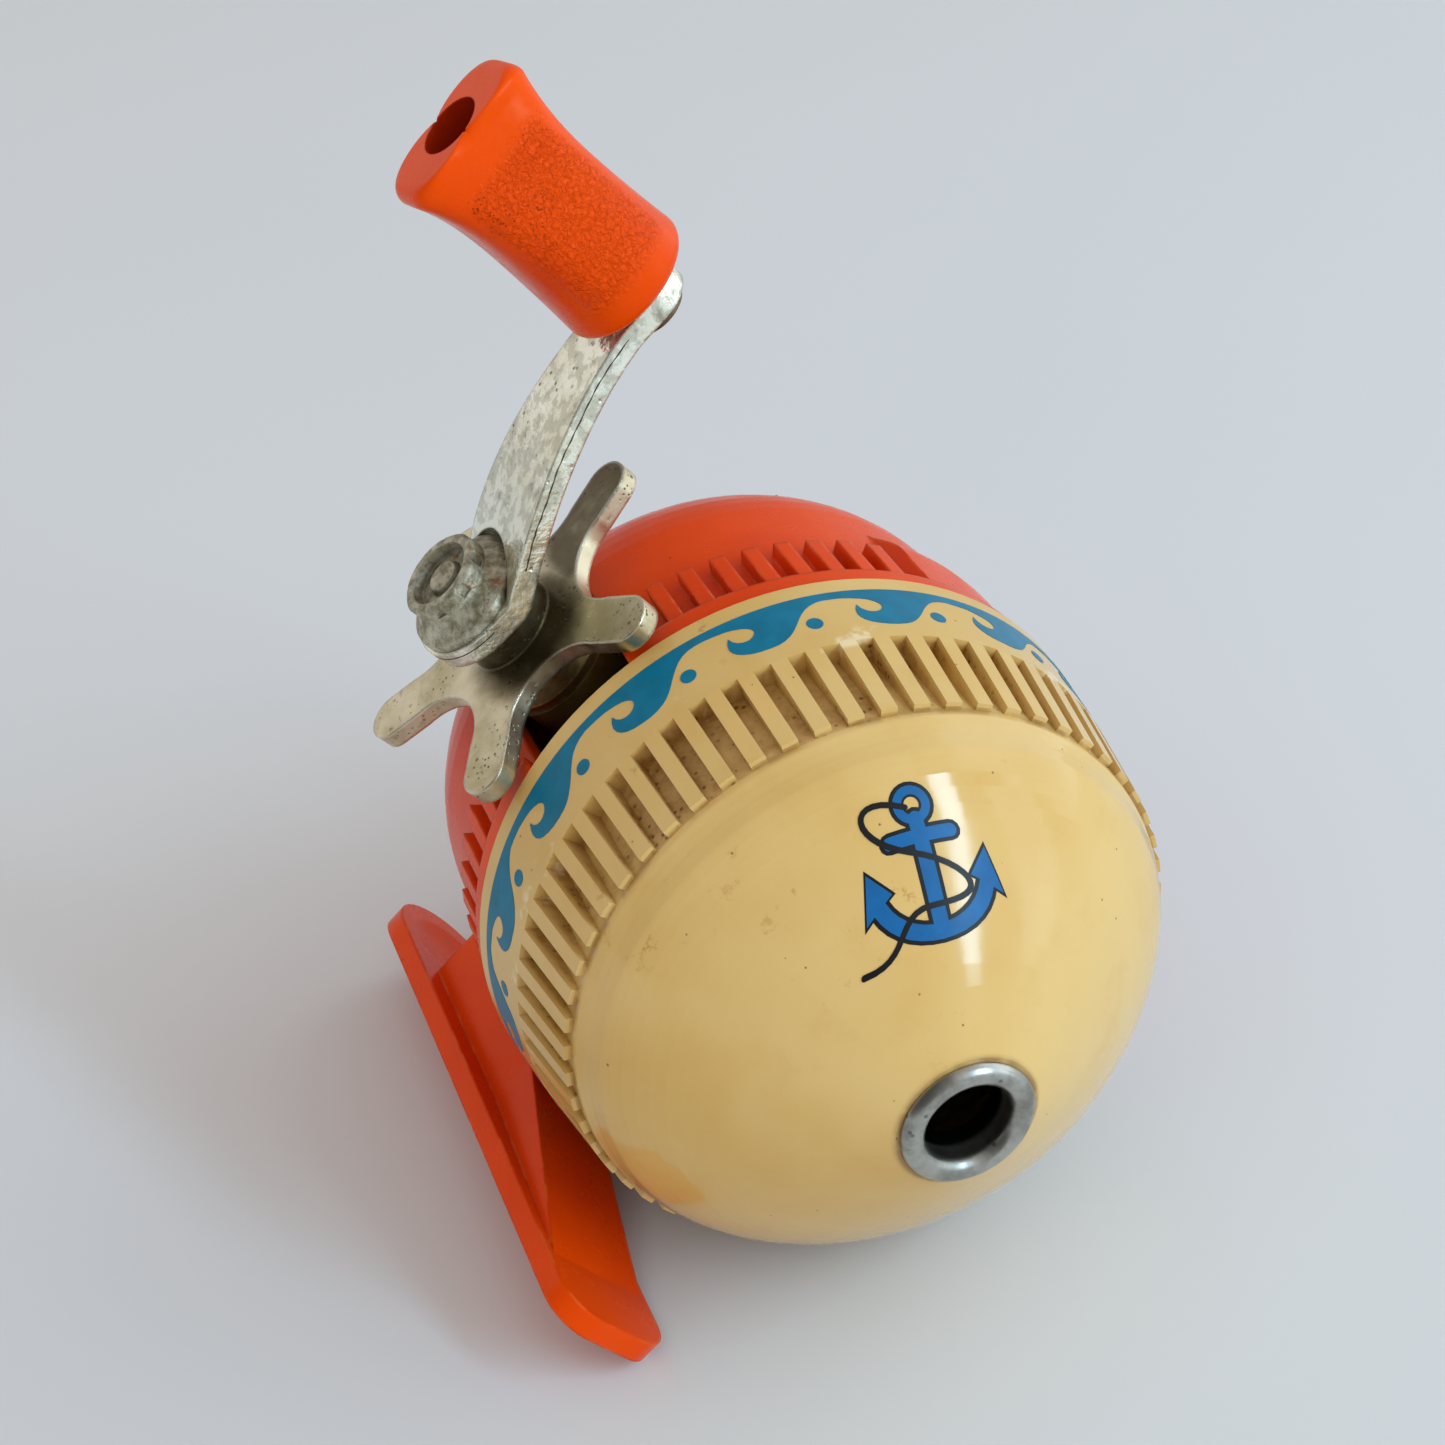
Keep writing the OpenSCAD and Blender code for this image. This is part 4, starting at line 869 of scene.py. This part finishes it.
def on_dome(run, angle, proud):
    """A point at that run over the dome from its ribs, at an angle from up towards the crank."""
    i = max(0, min(len(DOME) - 2, next((k for k, d in enumerate(DOME_RUN) if d > run), len(DOME) - 1) - 1))
    part = (run - DOME_RUN[i]) / (DOME_RUN[i + 1] - DOME_RUN[i])
    (r0, y0), (r1, y1) = DOME[i], DOME[i + 1]
    length = math.hypot(r1 - r0, y1 - y0)
    r = r0 + (r1 - r0) * part + proud * (y1 - y0) / length
    y = y0 + (y1 - y0) * part - proud * (r1 - r0) / length
    return place(r * math.sin(angle), y, r * math.cos(angle)), r


def dome_ink(centre_run, centre_angle):
    """Lays a flat drawing on the dome: u round it and v towards the ribs."""
    def lay(u, v, proud):
        run = centre_run - v
        _, r = on_dome(run, 0.0, 0.0)
        return on_dome(run, centre_angle + u / r, proud)[0]
    return lay


def band_ink(u, v, proud):
    """Lays a flat drawing round the band: u round it and v from its rear rim."""
    r = RIM_R - BAND_TAPER * v / BAND_LEN + proud
    angle = u / (RIM_R - BAND_TAPER / 2)
    return place(r * math.sin(angle), v, r * math.cos(angle))


def ink(name, drawings, lay, material, proud=INK_PROUD):
    """Flat loops cut into small faces, laid on the cover as one closed thin sheet each."""
    verts, faces = [], []
    for loops in drawings:
        bm = bmesh.new()
        flat = [[Vector((u, v, 0.0)) for u, v in loop] for loop in loops]
        points = [bm.verts.new(q) for loop in flat for q in loop]
        for tri in tessellate_polygon(flat):
            if len(set(tri)) == 3:
                bm.faces.new([points[i] for i in tri])
        for axis in (0, 1):
            spots = [q[axis] for loop in loops for q in loop]
            cut = math.floor(min(spots) / CUT) * CUT
            while cut < max(spots):
                plane = [0.0, 0.0, 0.0]
                plane[axis] = 1.0
                at = [0.0, 0.0, 0.0]
                at[axis] = cut
                bmesh.ops.bisect_plane(bm, geom=bm.verts[:] + bm.edges[:] + bm.faces[:],
                                       plane_co=at, plane_no=plane, dist=1e-5)
                cut += CUT
        bmesh.ops.remove_doubles(bm, verts=bm.verts[:], dist=1e-4)
        bm.verts.index_update()
        start = len(verts)
        half = len(bm.verts)
        for height in (proud, INK_SUNK):
            verts += [lay(q.co.x, q.co.y, height) for q in bm.verts]
        for f in bm.faces:
            ids = [start + q.index for q in f.verts]
            faces.append(ids)
            faces.append([i + half for i in reversed(ids)])
        for e in bm.edges:
            if e.is_boundary:
                a, b = (start + q.index for q in e.verts)
                faces.append((a, b, b + half, a + half))
        bm.free()
    repair_normals(make_piece(name, verts, faces, material, "cover"))


def stroke(points, width, grow=0.0):
    """The outline of a line with round ends through the points."""
    half = width / 2 + grow
    left, right = [], []
    for i, (u, v) in enumerate(points):
        a = points[max(0, i - 1)]
        b = points[min(len(points) - 1, i + 1)]
        run = math.hypot(b[0] - a[0], b[1] - a[1])
        nu, nv = -(b[1] - a[1]) / run, (b[0] - a[0]) / run
        left.append((u + nu * half, v + nv * half))
        right.append((u - nu * half, v - nv * half))

    def cap(middle, edge):
        start = math.atan2(edge[1] - middle[1], edge[0] - middle[0])
        return [(middle[0] + half * math.cos(start - math.pi * k / 6),
                 middle[1] + half * math.sin(start - math.pi * k / 6)) for k in range(1, 6)]

    return [left + cap(points[-1], left[-1]) + right[::-1] + cap(points[0], right[0])]


def disc(u, v, r):
    turns = [2 * math.pi * k / 24 for k in range(24)]
    return [[(u + r * math.cos(a), v + r * math.sin(a)) for a in turns]]


def washer(u, v, r_out, r_in):
    return disc(u, v, r_out) + [disc(u, v, r_in)[0][::-1]]


def ink_material(name, color):
    m = Mat(name)
    wear = m.ramp(m.noise(420.0, 4.0, 0.6), 0.3, 0.75)
    col = m.mix(wear, srgb(*color), srgb(*(v * 0.9 for v in color)))
    rough = m.ramp(m.noise(160.0, 3.0), 0.3, 0.7, 0.3, 0.38)
    return m.finish(col, rough, 0.0, Specular_IOR_Level=0.22)


teal_ink = ink_material("teal_ink", (0, 114, 148))
blue_ink = ink_material("blue_ink", (0, 96, 158))
black_ink = ink_material("black_ink", (20, 20, 22))


WAVES = 16
WAVE_PITCH = 2 * math.pi * (RIM_R - BAND_TAPER / 2) / WAVES
WAVE_LOW = 1.75
WAVE_BASE = 0.95
WAVE_RISE = 5.3
DROP_ON = 2.0
DROP_V = 5.6
DROP_R = 0.75


def wave(start):
    """One crest of the wave border, from start on, standing on its base strip."""
    low, base, rise = WAVE_LOW, WAVE_BASE, WAVE_RISE
    pitch = WAVE_PITCH
    back = [curve((0.0, base), (3.4, base + 0.1), (3.2, rise), (6.6, rise), i / 12) for i in range(13)]
    nose = [curve((6.6, rise), (9.3, rise), (10.6, 3.9), (9.4, 2.15), i / 8) for i in range(1, 9)]
    inner = [curve((9.4, 2.15), (9.2, 3.5), (7.7, 3.7), (7.2, 2.8), i / 6) for i in range(1, 7)]
    trough = [curve((7.2, 2.8), (6.7, 1.9), (8.2, base), (pitch, base), i / 8) for i in range(1, 9)]
    outline = back + nose + inner + trough + [(pitch, 0.0), (0.0, 0.0)]
    return [[(start + u, low + v) for u, v in outline]]


drops = [disc(i * WAVE_PITCH + DROP_ON, DROP_V, DROP_R) for i in range(WAVES)]
ink("wave_border", [wave(i * WAVE_PITCH) for i in range(WAVES)], band_ink, teal_ink)
ink("wave_drops", drops, band_ink, teal_ink)

# The anchor with its rope

MOTIF_RUN = 13.4
MOTIF_ANGLE = math.radians(48.0)
LINE_EXTRA = 0.34
LAYER = 0.02


def anchor(grow):
    sweep = [math.radians(10 * k) for k in range(-7, 8)]
    arms = [(5.1 * math.sin(a), -0.3 - 5.1 * math.cos(a)) for a in sweep]
    parts = [
        stroke([(0.0, 3.9), (0.0, 0.0), (0.0, -5.2)], 1.3, grow),
        stroke([(-2.7, 2.5), (0.0, 2.5), (2.7, 2.5)], 1.1, grow),
        stroke(arms, 1.3, grow),
        washer(0.0, 5.1, 1.6 + grow, 0.85 - grow * 0.6),
    ]
    for side in (-1, 1):
        tip = [(side * 3.5, -1.3), (side * 6.2, -2.9), (side * 5.3, 0.9)]
        middle = (side * 5.0, -1.1)
        stretch = 1.0 + grow / 1.6
        tip = [(middle[0] + (u - middle[0]) * stretch, middle[1] + (v - middle[1]) * stretch) for u, v in tip]
        parts.append([tip if side < 0 else tip[::-1]])
    return parts


def rope():
    first = [curve((0.6, 5.0), (5.6, 7.6), (5.8, 3.4), (1.2, 1.4), i / 14) for i in range(15)]
    second = [curve((1.2, 1.4), (-4.6, -1.0), (-4.8, -3.4), (0.4, -3.2), i / 14) for i in range(1, 15)]
    third = [curve((0.4, -3.2), (4.0, -3.0), (3.0, -7.2), (7.4, -6.2), i / 12) for i in range(1, 13)]
    return [stroke(first + second + third, 0.5)]


lay_motif = dome_ink(MOTIF_RUN, MOTIF_ANGLE)
ink("anchor_line", anchor(LINE_EXTRA), lay_motif, black_ink, LAYER)
ink("anchor_fill", anchor(0.0), lay_motif, blue_ink, 2 * LAYER)
ink("anchor_rope", rope(), lay_motif, black_ink, 3 * LAYER)

# ---- Floor, world and lamps ----


FLOOR_HALF = 3.0


def add_floor():
    mesh = bpy.data.meshes.new("table_top")
    e = FLOOR_HALF
    mesh.from_pydata([(-e, -e, 0), (e, -e, 0), (e, e, 0), (-e, e, 0)], [], [(0, 1, 2, 3)])
    obj = bpy.data.objects.new("table_top", mesh)
    obj.location = (0.0, 0.0, -RIM_R * 0.001)
    bpy.context.scene.collection.objects.link(obj)
    m = Mat("table_paper")
    col = m.mix(m.ramp(m.noise(3.0, 2.0), 0.3, 0.7), srgb(210, 213, 217), srgb(206, 210, 214))
    normal = m.bump(m.noise(900.0, 3.0), 0.00002, 0.2)
    obj.data.materials.append(m.finish(col, 0.75, 0.0, normal, Specular_IOR_Level=0.2))


LAMP_TARGET = Vector((0.0, 0.02, 0.0))


def add_window(name, top, bottom, distance, width, radiance, color):
    """An area lamp that stands between two directions from the target and faces it."""
    high, low = LAMP_TARGET + top * distance, LAMP_TARGET + bottom * distance
    up = (high - low).normalized()
    back = ((high + low) / 2 - LAMP_TARGET).normalized()
    side = up.cross(back).normalized()
    length = (high - low).length
    data = bpy.data.lights.new(name, "AREA")
    data.shape = "RECTANGLE"
    data.size = width
    data.size_y = length
    data.energy = radiance * math.pi * width * length
    data.color = color
    obj = bpy.data.objects.new(name, data)
    turned = Matrix((side, up, side.cross(up))).transposed().to_4x4()
    turned.translation = (high + low) / 2
    obj.matrix_world = turned
    bpy.context.scene.collection.objects.link(obj)


def polar(azimuth, elevation):
    """A direction: azimuth from -Y towards +X, and elevation over the table, in degrees."""
    a, e = math.radians(azimuth), math.radians(elevation)
    return Vector((math.sin(a) * math.cos(e), -math.cos(a) * math.cos(e), math.sin(e)))


def lit_from(tree, direction, low, high, dim, bright):
    """The world's strength: dim away from a direction and bright towards it."""
    way = tree.nodes.new("ShaderNodeTexCoord").outputs["Generated"]
    dot = tree.nodes.new("ShaderNodeVectorMath")
    dot.operation = "DOT_PRODUCT"
    tree.links.new(way, dot.inputs[0])
    dot.inputs[1].default_value = tuple(direction)
    span = tree.nodes.new("ShaderNodeMapRange")
    span.interpolation_type = "SMOOTHSTEP"
    tree.links.new(dot.outputs["Value"], span.inputs["Value"])
    for name, value in (("From Min", low), ("From Max", high), ("To Min", dim), ("To Max", bright)):
        span.inputs[name].default_value = value
    return span.outputs["Result"]


def add_world():
    world = bpy.data.worlds.new("studio")
    bpy.context.scene.world = world
    world.use_nodes = True
    tree = world.node_tree
    tree.nodes.clear()
    out = tree.nodes.new("ShaderNodeOutputWorld")
    room = tree.nodes.new("ShaderNodeBackground")
    room.inputs["Color"].default_value = (1.0, 0.94, 0.88, 1.0)
    tree.links.new(lit_from(tree, polar(15.0, -25.0), -0.8, 0.8, 0.54, 1.26), room.inputs["Strength"])
    seen = tree.nodes.new("ShaderNodeBackground")
    seen.inputs["Color"].default_value = (0.97, 0.95, 0.92, 1.0)
    right = lit_from(tree, polar(80.0, 20.0), -0.3, 0.8, 0.1, 0.8)
    behind = lit_from(tree, polar(-150.0, 5.0), 0.7, 0.95, 0.0, 0.65)
    both = tree.nodes.new("ShaderNodeMath")
    both.operation = "ADD"
    tree.links.new(right, both.inputs[0])
    tree.links.new(behind, both.inputs[1])
    tree.links.new(both.outputs[0], seen.inputs["Strength"])
    path = tree.nodes.new("ShaderNodeLightPath")
    mix = tree.nodes.new("ShaderNodeMixShader")
    tree.links.new(path.outputs["Is Glossy Ray"], mix.inputs[0])
    tree.links.new(room.outputs[0], mix.inputs[1])
    tree.links.new(seen.outputs[0], mix.inputs[2])
    tree.links.new(mix.outputs[0], out.inputs[0])


add_floor()
add_world()
DAYLIGHT = (0.66, 0.86, 1.0)
SKY = (0.5, 0.78, 1.0)
# Name, top and bottom as seen from the reel, distance and width in metres, radiance and colour
add_window("window", polar(54.0, 51.0), polar(30.0, 17.0), 1.2, 0.14, 16.0, SKY)
add_window("window_curtain", polar(68.0, 34.0), polar(56.0, 1.0), 1.3, 0.34, 1.4, DAYLIGHT)
add_window("bright_room", polar(98.0, 52.0), polar(98.0, 8.0), 1.5, 1.1, 1.05, DAYLIGHT)

bpy.context.scene.view_settings.view_transform = "Standard"
